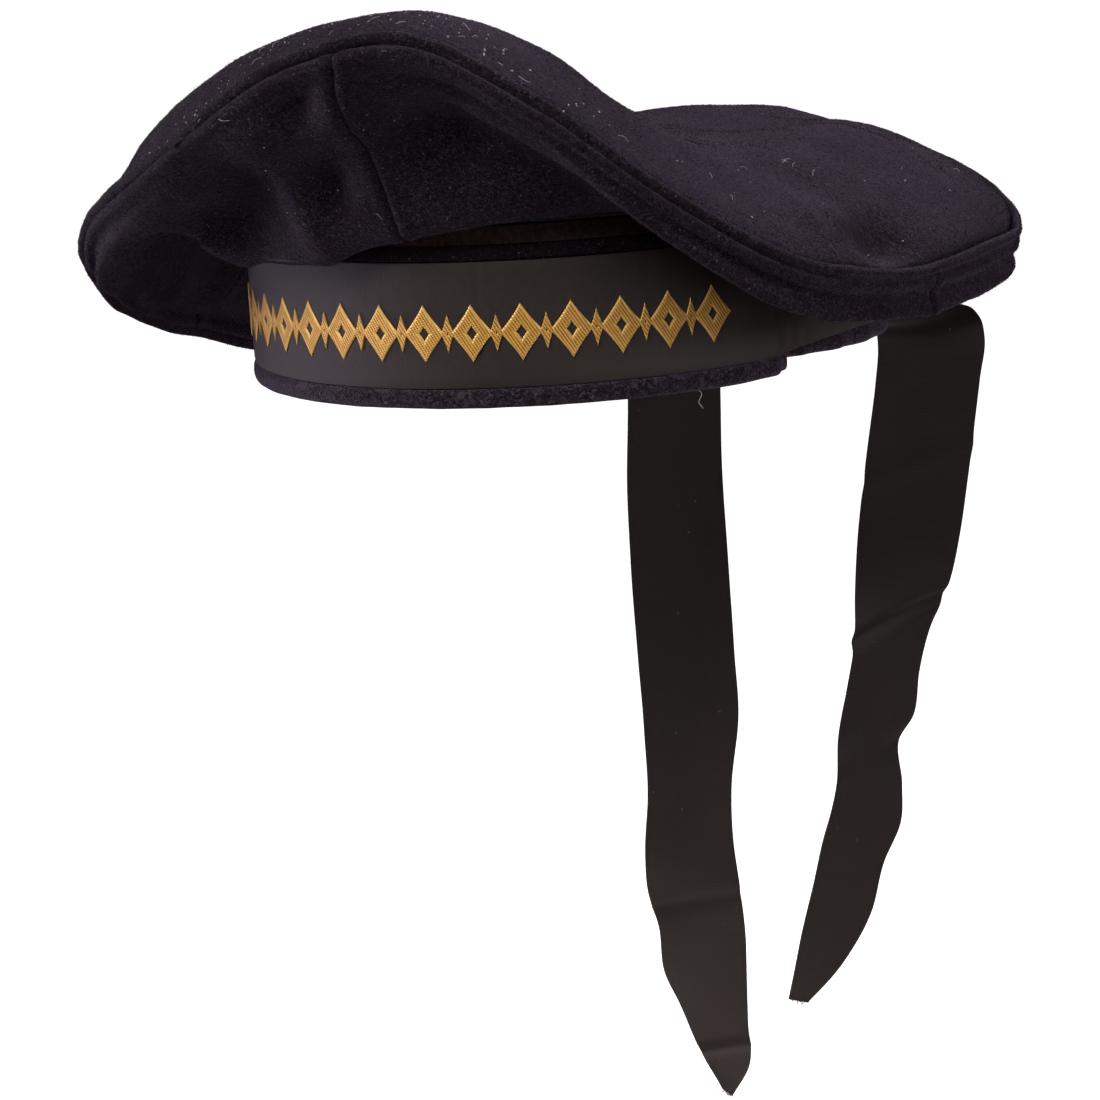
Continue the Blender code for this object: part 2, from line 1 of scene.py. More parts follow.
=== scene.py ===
"""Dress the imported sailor's plate cap: a soft wool crown and band, a silk ribbon and its two tails.

Metres, +Z up, front towards -Y, right towards +X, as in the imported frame. Angles are in degrees
round the band, from +X towards +Y, so the front is at 270. A place along the crown's cloth runs
from 0 at the band's mouth over 1 at the rim to 2 at the plate's middle.
"""

import logging
import math
from dataclasses import dataclass, field
from enum import Enum
from typing import Iterable, NamedTuple, Sequence, Union

import bpy
import numpy as np
from mathutils import Matrix, Vector, noise


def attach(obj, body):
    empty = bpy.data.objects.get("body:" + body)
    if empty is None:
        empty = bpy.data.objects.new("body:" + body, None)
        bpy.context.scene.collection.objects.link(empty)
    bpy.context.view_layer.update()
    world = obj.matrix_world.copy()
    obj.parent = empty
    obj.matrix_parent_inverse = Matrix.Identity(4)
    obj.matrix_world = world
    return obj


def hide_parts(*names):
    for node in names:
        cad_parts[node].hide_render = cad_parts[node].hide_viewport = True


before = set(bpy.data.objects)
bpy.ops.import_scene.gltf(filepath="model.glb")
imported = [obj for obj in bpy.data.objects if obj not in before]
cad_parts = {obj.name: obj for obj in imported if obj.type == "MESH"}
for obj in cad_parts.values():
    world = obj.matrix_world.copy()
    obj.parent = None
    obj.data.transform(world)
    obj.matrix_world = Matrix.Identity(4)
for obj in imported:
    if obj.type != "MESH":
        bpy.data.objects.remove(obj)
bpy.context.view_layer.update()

LOG = logging.getLogger("cap")
Array = np.ndarray
Colour = tuple[float, float, float]
Operand = Union["Value", float]

# Clearance between neighbouring pieces
GAP = 0.0003


class Section(NamedTuple):
    """The crown's cross-section at one angle: reaches and heights are shares, tilt is in degrees."""

    angle: float
    belly_reach: float
    belly_height: float
    hollow_reach: float
    hollow_height: float
    roll_reach: float
    roll_height: float
    rim_reach: float
    rim_height: float
    tilt: float
    shoulder: float
    outer: float
    middle: float
    inner: float


# One row for each section: belly, hollow and roll of the underside, the rim, then the plate
SECTIONS = (
    #       angle  belly       hollow      roll        rim         tilt  shoulder outer middle inner
    Section(0, 0.20, 0.44, 0.50, 0.31, 0.94, 0.17, 1.00, 0.26, 0, 0.40, 0.53, 0.58, 0.59),
    Section(20, 0.20, 0.44, 0.50, 0.32, 0.93, 0.17, 0.98, 0.255, 0, 0.39, 0.53, 0.57, 0.59),
    Section(42, 0.20, 0.44, 0.50, 0.35, 0.90, 0.22, 0.98, 0.32, 0, 0.425, 0.55, 0.56, 0.58),
    Section(65, 0.20, 0.44, 0.50, 0.40, 0.88, 0.33, 0.99, 0.425, 0, 0.49, 0.545, 0.55, 0.58),
    Section(90, 0.20, 0.46, 0.50, 0.43, 0.88, 0.39, 1.00, 0.49, 5, 0.55, 0.56, 0.55, 0.58),
    Section(115, 0.20, 0.46, 0.50, 0.36, 0.84, 0.24, 1.00, 0.32, -10, 0.47, 0.545, 0.57, 0.59),
    Section(137, 0.20, 0.43, 0.50, 0.26, 0.76, 0.13, 0.98, 0.08, -75, 0.39, 0.55, 0.58, 0.59),
    Section(156, 0.20, 0.42, 0.48, 0.20, 0.74, 0.04, 0.94, -0.09, -128, 0.29, 0.54, 0.58, 0.59),
    Section(173, 0.20, 0.42, 0.48, 0.24, 0.76, 0.10, 0.96, 0.00, -125, 0.31, 0.54, 0.59, 0.60),
    Section(190, 0.20, 0.42, 0.50, 0.29, 0.80, 0.165, 1.00, 0.13, -85, 0.37, 0.55, 0.60, 0.61),
    Section(207, 0.18, 0.40, 0.50, 0.35, 0.91, 0.235, 1.00, 0.32, -20, 0.49, 0.59, 0.63, 0.62),
    Section(222, 0.17, 0.37, 0.46, 0.42, 0.90, 0.36, 0.95, 0.46, 10, 0.60, 0.655, 0.67, 0.63),
    Section(238, 0.17, 0.36, 0.42, 0.475, 0.88, 0.50, 0.96, 0.575, 15, 0.735, 0.775, 0.73, 0.65),
    Section(254, 0.18, 0.36, 0.48, 0.57, 0.88, 0.65, 0.99, 0.738, 20, 0.87, 0.895, 0.80, 0.67),
    Section(270, 0.15, 0.425, 0.54, 0.66, 0.92, 0.80, 1.00, 0.90, 25, 0.965, 0.965, 0.84, 0.69),
    Section(283, 0.14, 0.45, 0.46, 0.75, 0.93, 0.855, 1.00, 0.935, 25, 0.99, 0.975, 0.84, 0.69),
    Section(296, 0.14, 0.47, 0.45, 0.64, 0.93, 0.69, 1.00, 0.775, 15, 0.86, 0.89, 0.80, 0.68),
    Section(310, 0.16, 0.47, 0.48, 0.47, 0.93, 0.435, 1.00, 0.525, 5, 0.63, 0.72, 0.70, 0.65),
    Section(325, 0.20, 0.45, 0.50, 0.35, 0.94, 0.22, 1.00, 0.32, 0, 0.45, 0.58, 0.62, 0.62),
    Section(342, 0.20, 0.44, 0.50, 0.31, 0.95, 0.16, 1.00, 0.25, 0, 0.39, 0.54, 0.58, 0.60),
)


class Fold(NamedTuple):
    """A dent or a ridge in the crown's cloth: its place, its spreads and its share of the push."""

    angle: float
    place: float
    angle_spread: float
    place_spread: float
    push: float


FOLDS = (
    #    angle place spreads    push
    Fold(260, 0.45, 3.5, 0.28, 0.30),
    Fold(252, 0.70, 5.0, 0.22, -0.44),
    Fold(246, 0.46, 4.5, 0.16, -0.30),
    Fold(237, 0.46, 3.6, 0.18, 0.60),
    Fold(238, 0.60, 1.8, 0.26, 0.14),
    Fold(222, 0.42, 6.5, 0.16, -0.42),
    Fold(203, 0.44, 7.0, 0.16, -0.45),
    Fold(190, 0.80, 3.2, 0.16, 0.36),
    Fold(178, 0.75, 2.6, 0.22, 0.18),
    Fold(265, 0.46, 3.6, 0.13, -0.50),
    Fold(268, 0.84, 3.0, 0.08, -0.38),
    Fold(271, 0.80, 2.0, 0.12, 0.14),
    Fold(275, 0.58, 4.5, 0.20, 0.25),
    Fold(339, 1.09, 5.5, 0.055, -0.36),
    Fold(332, 1.12, 1.6, 0.08, 0.16),
    Fold(350, 1.06, 6.0, 0.05, 0.12),
    Fold(335, 1.26, 6.0, 0.08, -0.12),
    Fold(50, 1.48, 30.0, 0.13, -0.37),
    Fold(4, 1.40, 16.0, 0.12, 0.46),
    Fold(25, 1.66, 26.0, 0.10, -0.08),
    Fold(74, 1.14, 6.0, 0.12, -0.25),
)


class Panel(NamedTuple):
    """One quarter of the crown's underside, between two seams."""

    name: str
    node: str
    start: float
    end: float


PANELS = (
    Panel("side_cloth_front_right", "side_front_right", 273.0, 346.0),
    Panel("side_cloth_back_right", "side_back_right", 346.0, 450.0),
    Panel("side_cloth_back_left", "side_back_left", 90.0, 176.0),
    Panel("side_cloth_front_left", "side_front_left", 176.0, 273.0),
)


class Lean(NamedTuple):
    """How many degrees the front seam leans off its panel's edge at one place."""

    place: float
    lean: float


SEAM_LEAN = (
    #    place lean
    Lean(0.00, 1.0),
    Lean(0.25, 0.5),
    Lean(0.45, -0.1),
    Lean(0.62, -0.3),
    Lean(0.78, 0.5),
    Lean(0.90, 1.3),
    Lean(1.00, 1.7),
)


class BandDent(NamedTuple):
    """How far the band is pushed in at one angle, as shares of the bridge's and fold's depths."""

    angle: float
    bridge: float
    fold: float


BAND_DENT = (
    #        angle bridge fold
    BandDent(-32, 0.00, 0.00),
    BandDent(-24, 0.14, 0.02),
    BandDent(-19, 0.52, 0.16),
    BandDent(-14, 0.84, 0.72),
    BandDent(-8, 0.98, 1.00),
    BandDent(-2, 1.00, 0.60),
    BandDent(6, 0.78, 0.24),
    BandDent(14, 0.34, 0.10),
    BandDent(24, 0.00, 0.00),
)


class Ridge(NamedTuple):
    """A groove or ridge along a sewn edge: its distance from the edge, its width and its lift."""

    distance: float
    width: float
    lift: float

    def at(self, far: Array) -> Array:
        """Return how far the cloth is raised at distances from the edge."""
        return self.lift * bell(far, self.distance, self.width)


# The groove of the rim's seam, the line of its stitches, and the soft roll under it
RIM_RIDGES = (Ridge(0.0, 0.0009, -0.0018), Ridge(0.0041, 0.0006, -0.0013), Ridge(-0.0030, 0.0018, 0.0009))
# The groove of an upright seam and the cloth raised beside it
SEAM_RIDGES = (Ridge(0.0, 0.0007, -0.0007), Ridge(0.0022, 0.0015, 0.0004))


class Dent(NamedTuple):
    """A shallow dent or ridge near the rim: its angle, its distance in from the rim, and its lift."""

    angle: float
    distance: float
    angle_spread: float
    distance_spread: float
    lift: float


DENTS = (
    #    angle distance spreads     lift
    Dent(289, -0.0112, 10.0, 0.0036, -0.0030),
    Dent(336, 0.0150, 2.0, 0.0100, 0.0012),
    Dent(341.5, 0.0130, 3.0, 0.0085, -0.0018),
    Dent(339, 0.0360, 5.0, 0.0095, -0.0014),
    Dent(331, 0.0500, 5.0, 0.0085, -0.0013),
    Dent(351, 0.0270, 6.0, 0.0100, 0.0010),
    Dent(318, 0.0270, 4.0, 0.0100, -0.0010),
)


class TailRow(NamedTuple):
    """Both edges of a ribbon tail at one place, as shares of the ribbon's width from its root."""

    left_across: float
    left_back: float
    left_drop: float
    right_across: float
    right_back: float
    right_drop: float
    sag: float


# From the knot down to the slanted tip
TAIL_LEFT = (
    #       left              right              sag
    TailRow(-0.74, 0.36, 0.31, 0.12, 0.08, 0.31, 0.00),
    TailRow(-0.83, 0.27, 0.80, 0.07, 0.35, 0.80, 0.00),
    TailRow(-0.85, 0.24, 1.40, 0.05, 0.48, 1.40, 0.00),
    TailRow(-0.90, 0.24, 2.20, 0.03, 0.48, 2.20, 0.00),
    TailRow(-0.91, 0.26, 3.00, 0.04, 0.46, 3.00, 0.00),
    TailRow(-0.89, 0.24, 4.00, 0.06, 0.48, 4.00, 0.00),
    TailRow(-0.87, 0.20, 4.65, 0.07, 0.52, 4.65, 0.00),
    TailRow(-0.87, 0.16, 5.35, -0.03, 0.56, 5.40, 0.00),
    TailRow(-0.93, 0.20, 5.95, -0.04, 0.54, 5.95, 0.00),
    TailRow(-0.92, 0.26, 6.32, 0.00, 0.50, 6.45, 0.00),
    TailRow(-0.83, 0.26, 6.70, 0.03, 0.50, 6.90, 0.00),
    TailRow(-0.80, 0.30, 7.18, 0.02, 0.48, 7.40, 0.00),
    TailRow(-0.66, 0.34, 7.55, 0.01, 0.44, 7.80, 0.00),
    TailRow(-0.48, 0.34, 8.05, 0.00, 0.42, 8.25, 0.00),
    TailRow(-0.28, 0.34, 8.45, -0.19, 0.38, 8.55, 0.00),
)

# From the knot round the back of the band, over a crest, and down to the slanted tip
TAIL_RIGHT = (
    #       left               right             sag
    TailRow(0.40, -0.17, 0.45, 0.40, -0.13, -0.50, 0.00),
    TailRow(0.86, -0.50, 0.52, 1.14, -0.23, -0.08, 0.00),
    TailRow(1.20, -1.00, 0.54, 1.80, -0.66, 0.28, 0.00),
    TailRow(1.24, -1.45, 0.54, 2.05, -1.12, 0.44, 0.02),
    TailRow(1.28, -1.66, 0.56, 2.15, -1.38, 0.47, 0.05),
    TailRow(1.33, -1.86, 0.58, 2.26, -1.65, 0.51, 0.08),
    TailRow(1.34, -1.91, 0.64, 2.30, -1.71, 0.58, 0.08),
    TailRow(1.34, -1.93, 0.74, 2.32, -1.74, 0.72, 0.05),
    TailRow(1.31, -1.90, 1.05, 2.27, -1.71, 1.10, 0.00),
    TailRow(1.19, -1.87, 1.80, 2.15, -1.69, 1.90, 0.00),
    TailRow(1.09, -1.85, 2.50, 2.04, -1.72, 2.50, 0.00),
    TailRow(1.04, -1.92, 3.00, 1.91, -1.64, 3.05, 0.00),
    TailRow(1.01, -2.04, 3.38, 1.76, -1.50, 3.42, 0.00),
    TailRow(0.92, -2.08, 3.82, 1.64, -1.48, 3.85, 0.00),
    TailRow(0.82, -2.05, 4.32, 1.57, -1.50, 4.25, 0.00),
    TailRow(0.79, -2.12, 4.68, 1.43, -1.43, 4.50, 0.00),
    TailRow(0.73, -2.08, 4.95, 1.44, -1.46, 4.92, 0.00),
    TailRow(0.65, -2.05, 5.22, 1.42, -1.50, 5.24, 0.00),
    TailRow(0.54, -2.02, 5.65, 1.24, -1.55, 5.62, 0.00),
    TailRow(0.41, -2.00, 6.12, 1.09, -1.58, 6.10, 0.00),
    TailRow(0.33, -1.95, 6.50, 0.80, -1.68, 6.55, 0.00),
    TailRow(0.27, -1.88, 6.80, 0.45, -1.76, 6.88, 0.00),
)


class Value:
    """A number socket that takes part in Python arithmetic."""

    def __init__(self, paint: "Paint", socket: bpy.types.NodeSocket) -> None:
        """Keep the socket and the paint that its nodes belong to."""
        self.paint = paint
        self.socket = socket

    def combine(self, operation: str, first: Operand, second: Operand) -> "Value":
        """Return the result of one Math node.

        Args:
            operation: the Math node's operation.
            first: its first number.
            second: its second number.

        Returns:
            The result.
        """
        made = self.paint.node("ShaderNodeMath", {"operation": operation}, {0: first, 1: second})
        return Value(self.paint, made.outputs[0])

    def __add__(self, other: Operand) -> "Value":
        """Return this plus the other."""
        return self.combine("ADD", self, other)

    def __radd__(self, other: Operand) -> "Value":
        """Return the other plus this."""
        return self.combine("ADD", other, self)

    def __sub__(self, other: Operand) -> "Value":
        """Return this less the other."""
        return self.combine("SUBTRACT", self, other)

    def __rsub__(self, other: Operand) -> "Value":
        """Return the other less this."""
        return self.combine("SUBTRACT", other, self)

    def __mul__(self, other: Operand) -> "Value":
        """Return this times the other."""
        return self.combine("MULTIPLY", self, other)

    def __rmul__(self, other: Operand) -> "Value":
        """Return the other times this."""
        return self.combine("MULTIPLY", other, self)

    def wave(self) -> "Value":
        """Return the sine of this, in radians."""
        return self.combine("SINE", self, 0.0)


class Paint:
    """The nodes of one material round its Principled shader."""

    def __init__(self, name: str) -> None:
        """Start a material with its shader.

        Args:
            name: the material's name.
        """
        self.material = bpy.data.materials.new(name)
        self.material.use_nodes = True
        self.tree = self.material.node_tree
        self.shader = self.tree.nodes["Principled BSDF"]

    def feed(self, socket: bpy.types.NodeSocket, value: object) -> None:
        """Link a socket to another, or set its value.

        Args:
            socket: the input that is fed.
            value: a Value, an output socket, a colour or a number.
        """
        if isinstance(value, Value):
            self.tree.links.new(value.socket, socket)
        elif isinstance(value, bpy.types.NodeSocket):
            self.tree.links.new(value, socket)
        elif socket.type == "RGBA":
            socket.default_value = (*value, 1.0)
        else:
            socket.default_value = value

    def node(self, kind: str, settings: dict, inputs: dict) -> bpy.types.Node:
        """Add one node.

        Args:
            kind: the node's type.
            settings: its own properties, set first; stops are a ramp's places and colours.
            inputs: the values or links of its sockets, by name or index.

        Returns:
            The node.
        """
        made = self.tree.nodes.new(kind)
        for name, value in settings.items():
            if name == "stops":
                ramp = made.color_ramp
                for stop, (place, colour) in zip(ramp.elements, value):
                    stop.position = place
                    stop.color = (*colour, 1.0)
            else:
                setattr(made, name, value)
        for name, value in inputs.items():
            self.feed(made.inputs[name], value)
        return made

    def place(self) -> bpy.types.NodeSocket:
        """Return the place in the object, in metres."""
        return self.node("ShaderNodeTexCoord", {}, {}).outputs["Object"]

    def weave(self) -> tuple[Value, Value]:
        """Return the place along and across a woven piece, in metres.

        Returns:
            The place along it and the place across it.
        """
        read = self.node("ShaderNodeAttribute", {"attribute_name": "weave"}, {})
        split = self.node("ShaderNodeSeparateXYZ", {}, {0: read.outputs["Vector"]})
        return Value(self, split.outputs[0]), Value(self, split.outputs[1])

    def mottle(self, place: object, scale: float, detail: float, rough: float) -> Value:
        """Return noise from 0 to 1.

        Args:
            place: the vector socket that it follows.
            scale: lumps in a metre.
            detail: how many finer layers it has.
            rough: how strong they are.

        Returns:
            The noise.
        """
        inputs = {"Vector": place, "Scale": scale, "Detail": detail, "Roughness": rough}
        return Value(self, self.node("ShaderNodeTexNoise", {}, inputs).outputs[0])

    def cells(self, place: object, scale: float) -> Value:
        """Return a random number from 0 to 1 for each small cell.

        Args:
            place: the vector socket that it follows.
            scale: cells in a metre.

        Returns:
            The numbers.
        """
        made = self.node("ShaderNodeTexVoronoi", {}, {"Vector": place, "Scale": scale})
        split = self.node("ShaderNodeSeparateColor", {}, {0: made.outputs["Color"]})
        return Value(self, split.outputs[0])

    def smooth(self, value: Value, low: float, high: float) -> Value:
        """Return a smooth step of a value.

        Args:
            value: what it follows.
            low: the value where it is 0.
            high: the value where it is 1.

        Returns:
            The step.
        """
        settings = {"interpolation_type": "SMOOTHSTEP"}
        made = self.node("ShaderNodeMapRange", settings, {0: value, 1: low, 2: high})
        return Value(self, made.outputs[0])

    def blend(self, mask: Operand, first: object, second: object) -> bpy.types.NodeSocket:
        """Return a colour between two others.

        Args:
            mask: the second colour's share.
            first: the colour where the mask is 0.
            second: the colour where the mask is 1.

        Returns:
            The colour's socket.
        """
        settings = {"data_type": "RGBA"}
        return self.node("ShaderNodeMix", settings, {0: mask, 6: first, 7: second}).outputs[2]

    def bump(self, height: Value, distance: float, strength: float) -> None:
        """Bump the surface.

        Args:
            height: how high it is, from 0 to 1.
            distance: the height in metres that 1 stands for.
            strength: the bump's share.
        """
        inputs = {"Height": height, "Distance": distance, "Strength": strength}
        made = self.node("ShaderNodeBump", {}, inputs)
        self.feed(self.shader.inputs["Normal"], made.outputs["Normal"])

    def set(self, **values: object) -> None:
        """Feed the shader's sockets, named with low lines for spaces."""
        for name, value in values.items():
            self.feed(self.shader.inputs[name.replace("_", " ")], value)


# The finishes. The numbers in an expression are the shares that its parts have in it
@dataclass(frozen=True)
class Wool:
    """Napped wool melton: close tufts, clouds of warm and cool shade, and a few paler flecks."""

    name: str = "navy_wool_nap"
    deep: Colour = (0.0020, 0.0009, 0.0015)
    lit: Colour = (0.0260, 0.0182, 0.0262)
    warm: Colour = (0.0090, 0.0046, 0.0048)
    pale: Colour = (0.110, 0.088, 0.120)
    tufts: float = 2300.0
    clumps: float = 620.0
    clouds: float = 95.0
    sheen: float = 0.12
    tint: Colour = (0.72, 0.58, 0.92)
    relief: float = 0.0014
    worn: float = 0.0

    def material(self) -> bpy.types.Material:
        """Return the wool's material.

        Returns:
            The material.
        """
        paint = Paint(self.name)
        place = paint.place()
        tuft = paint.mottle(place, self.tufts, 2.0, 0.7)
        clump = paint.mottle(place, self.clumps, 3.0, 0.6)
        cloud = paint.mottle(place, self.clouds, 3.0, 0.5)
        grain = paint.cells(place, self.tufts * 0.8)
        nap = tuft * 0.45 + clump * 0.3 + grain * 0.25
        tone = paint.smooth(tuft * 0.6 + clump * 0.26 + cloud * 0.14, 0.38, 0.64)
        colour = paint.blend(tone * 0.34 + grain * grain * grain * 0.95, self.deep, self.lit)
        colour = paint.blend(paint.smooth(cloud, 0.42, 0.62) * 0.55, colour, self.warm)
        fleck = paint.smooth(paint.mottle(place, self.tufts * 0.55, 0.0, 0.0), 0.74, 0.84)
        colour = paint.blend(fleck * 0.5, colour, self.pale)
        patch = paint.smooth(clump * 0.5 + cloud * 0.5, 0.53, 0.62)
        colour = paint.blend(patch * self.worn, colour, self.pale)
        paint.set(Base_Color=colour, Roughness=0.95, Sheen_Weight=self.sheen, Sheen_Roughness=0.35)
        paint.set(Sheen_Tint=self.tint, Specular_IOR_Level=0.06)
        paint.bump(nap, self.relief, 0.9)
        return paint.material


@dataclass(frozen=True)
class Silk:
    """Fine ribbed silk: close ribs across the ribbon, a soft bloom, faint shade marks, specks of dust,
    and painted light that can make it lighter towards the bottom.
    """

    name: str = "black_ribbon_rib"
    deep: Colour = (0.0078, 0.0050, 0.0042)
    lit: Colour = (0.0175, 0.0122, 0.0105)
    rib: float = 0.00042
    rough: float = 0.60
    shine: float = 0.34
    # Painted light: the lighter colour that the lower part is blended towards, and its share, for the
    # light that falls low and the shade over the top
    painted_light_colour: Colour = (0.0175, 0.0122, 0.0105)
    height_share: float = 0.0
    dust: Colour = (0.11, 0.10, 0.09)
    relief: float = 0.00009

    def material(self) -> bpy.types.Material:
        """Return the ribbon's material.

        Returns:
            The material.
        """
        paint = Paint(self.name)
        place = paint.place()
        along, _ = paint.weave()
        wobble = paint.mottle(place, 160.0, 2.0, 0.5)
        ribs = (along * (math.tau / self.rib) + wobble * 1.6).wave() * 0.5 + 0.5
        slub = paint.mottle(place, 700.0, 3.0, 0.6)
        bloom = paint.mottle(place, 42.0, 3.0, 0.5)
        tone = paint.smooth(ribs * 0.25 + slub * 0.4 + bloom * 0.35, 0.25, 0.75)
        dust = paint.smooth(paint.mottle(place, 620.0, 0.0, 0.0), 0.86, 0.90)
        colour = paint.blend(tone, self.deep, self.lit)
        # Painted light: the colour turns lighter towards the bottom, standing in for the light that
        # reaches the lower part
        height = paint.node("ShaderNodeSeparateXYZ", {}, {0: place}).outputs[2]
        low = paint.smooth(Value(paint, height) * -1.0, 0.02, 0.26)
        colour = paint.blend(low * self.height_share, colour, self.painted_light_colour)
        colour = paint.blend(dust * 0.3, colour, self.dust)
        paint.set(Base_Color=colour, Roughness=slub * 0.16 + (self.rough - 0.08))
        paint.set(Specular_IOR_Level=self.shine, Sheen_Weight=0.06, Sheen_Roughness=0.5)
        paint.set(Sheen_Tint=(1.0, 0.88, 0.84), Specular_Tint=(1.0, 0.93, 0.90))
        paint.bump(ribs * 0.6 + slub * 0.4, self.relief, 0.7)
        return paint.material


@dataclass(frozen=True)
class GoldThread:
    """Gold thread woven in a steep twill, paler along the border of each figure."""

    name: str = "gold_twill"
    deep: Colour = (0.17, 0.070, 0.005)
    lit: Colour = (0.62, 0.33, 0.050)
    border: Colour = (0.86, 0.56, 0.16)
    pitch: float = 0.00085
    slant: float = 0.62
    cross_pitch: float = 0.0006
    relief: float = 0.00018

    def material(self) -> bpy.types.Material:
        """Return the gold weave's material.

        Returns:
            The material.
        """
        paint = Paint(self.name)
        place = paint.place()
        along, across = paint.weave()
        read = paint.node("ShaderNodeAttribute", {"attribute_name": "border"}, {})
        border = Value(paint, read.outputs["Fac"])
        wobble = paint.mottle(place, 500.0, 2.0, 0.5)
        phase = (along + across * self.slant) * (math.tau / self.pitch)
        twill = (phase + wobble * 1.2).wave() * 0.5 + 0.5
        cross = ((across - along * 0.3) * (math.tau / self.cross_pitch)).wave() * 0.5 + 0.5
        tone = paint.smooth(twill * 0.62 + cross * 0.2 + wobble * 0.3, 0.18, 0.85)
        colour = paint.blend(tone, self.deep, self.lit)
        colour = paint.blend(border * 0.55, colour, self.border)
        paint.set(Base_Color=colour, Metallic=0.25, Roughness=0.46, Specular_IOR_Level=0.5)
        paint.bump(twill * 0.7 + cross * 0.3, self.relief, 0.8)
        return paint.material


@dataclass(frozen=True)
class PlainCloth:
    """A plain smooth cloth, thread or tape with a fine grain."""

    name: str
    deep: Colour
    lit: Colour
    grain: float = 900.0
    rough: float = 0.75
    shine: float = 0.3
    relief: float = 0.00015
    low: float = 0.3
    high: float = 0.7

    def material(self) -> bpy.types.Material:
        """Return the cloth's material.

        Returns:
            The material.
        """
        paint = Paint(self.name)
        place = paint.place()
        grain = paint.mottle(place, self.grain, 3.0, 0.6)
        cloud = paint.mottle(place, 60.0, 3.0, 0.5)
        tone = paint.smooth(grain * 0.75 + cloud * 0.25, self.low, self.high)
        paint.set(Base_Color=paint.blend(tone, self.deep, self.lit), Roughness=self.rough)
        paint.set(Specular_IOR_Level=self.shine)
        paint.bump(grain, self.relief, 0.6)
        return paint.material


@dataclass(frozen=True)
class Stage:
    """A plain matt white for the floor and what rises behind it."""

    name: str = "white_paper"
    colour: Colour = (0.93, 0.93, 0.93)
    glow: float = 1.0

    def material(self) -> bpy.types.Material:
        """Return the paper's material.

        Returns:
            The material.
        """
        paint = Paint(self.name)
        paint.set(Base_Color=self.colour, Roughness=1.0, Specular_IOR_Level=0.0)
        paint.set(Emission_Color=(1.0, 1.0, 1.0), Emission_Strength=self.glow)
        return paint.material


class Look(Enum):
    """Every finish of the cap."""

    WOOL = Wool()
    # Painted shade: a darker copy of the wool with little sheen, for the shade that the crown and the
    # ribbon throw on the upper welt
    WELT = Wool("painted_shade_wool_welt", (0.0020, 0.0010, 0.0020), (0.0150, 0.0096, 0.0150), sheen=0.05)
    ROLL = Wool("worn_wool_roll", lit=(0.0420, 0.0320, 0.0400), sheen=0.18, worn=0.22)
    SILK = Silk()
    # Painted shade and light: the tails' silk is a darker copy of the ribbon's, for the cap's shadow over
    # them, and it is painted lighter towards the bottom, where more light reaches them
    TAIL = Silk(
        "hanging_ribbon_painted_shade", (0.0024, 0.0011, 0.0010), (0.0056, 0.0032, 0.0028), shine=0.16, height_share=0.60
    )
    GOLD = GoldThread()
    TAPE = PlainCloth("dark_tape", (0.0130, 0.0072, 0.0056), (0.0340, 0.0210, 0.0170), 700.0, 0.8, 0.08)
    LINING = PlainCloth("dark_lining", (0.008, 0.008, 0.010), (0.020, 0.020, 0.025), 1200.0, 0.7)
    THREAD = PlainCloth("navy_thread", (0.006, 0.005, 0.012), (0.022, 0.020, 0.036), 2500.0, 0.6)
    FIBRE = PlainCloth(
        "wool_fibre", (0.002, 0.0010, 0.0016), (0.085, 0.070, 0.092), 1050.0, 0.9, 0.1, 0.0002, 0.46, 0.62
    )
    FRAY = PlainCloth("ribbon_thread", (0.010, 0.008, 0.007), (0.060, 0.054, 0.050), 2500.0, 0.8)
    LINT = PlainCloth("pale_lint", (0.16, 0.15, 0.17), (0.42, 0.40, 0.42), 2500.0, 0.9)


Materials = dict[Look, bpy.types.Material]


def turn_from(angles: Array, centre: float) -> Array:
    """Return how far angles are from a centre, in degrees from -180 to 180."""
    return (angles - centre + 180.0) % 360.0 - 180.0


def squared(part: Array, power: float) -> Array:
    """Return a cosine or sine raised to a power with its sign kept, for a squarer round."""
    return np.sign(part) * np.abs(part) ** power


def between(at: Array, stops: Array, points: Array) -> Array:
    """Return the places on a line of points.

    Args:
        at: how far along each place is.
        stops: how far along each point is.
        points: the points.

    Returns:
        The places.
    """
    return np.stack([np.interp(at, stops, points[:, axis]) for axis in range(3)], axis=-1)


def hermite(start: Array, end: Array, start_slope: Array, end_slope: Array, share: Array) -> Array:
    """Return the cubic Hermite blend between two values.

    Args:
        start: the first value.
        end: the last value.
        start_slope: the slope at the first.
        end_slope: the slope at the last.
        share: how far along, from 0 to 1.

    Returns:
        The blended values.
    """
    square = share * share
    cube = square * share
    return (
        (2 * cube - 3 * square + 1) * start
        + (cube - 2 * square + share) * start_slope
        + (3 * square - 2 * cube) * end
        + (cube - square) * end_slope
    )


def smoothstep(low: float, high: float, value: Array) -> Array:
    """Return a smooth step of values.

    Args:
        low: the value where it is 0.
        high: the value where it is 1.
        value: the values.

    Returns:
        The steps.
    """
    share = np.clip((value - low) / (high - low), 0.0, 1.0)
    return share * share * (3 - 2 * share)


def bell(value: Array, centre: float, width: float) -> Array:
    """Return a bell of height 1 round a centre."""
    return np.exp(-(((value - centre) / width) ** 2))


def unit(vectors: Array) -> Array:
    """Return vectors at length 1."""
    lengths = np.linalg.norm(vectors, axis=-1)[..., None]
    return vectors / np.maximum(lengths, 1e-12)


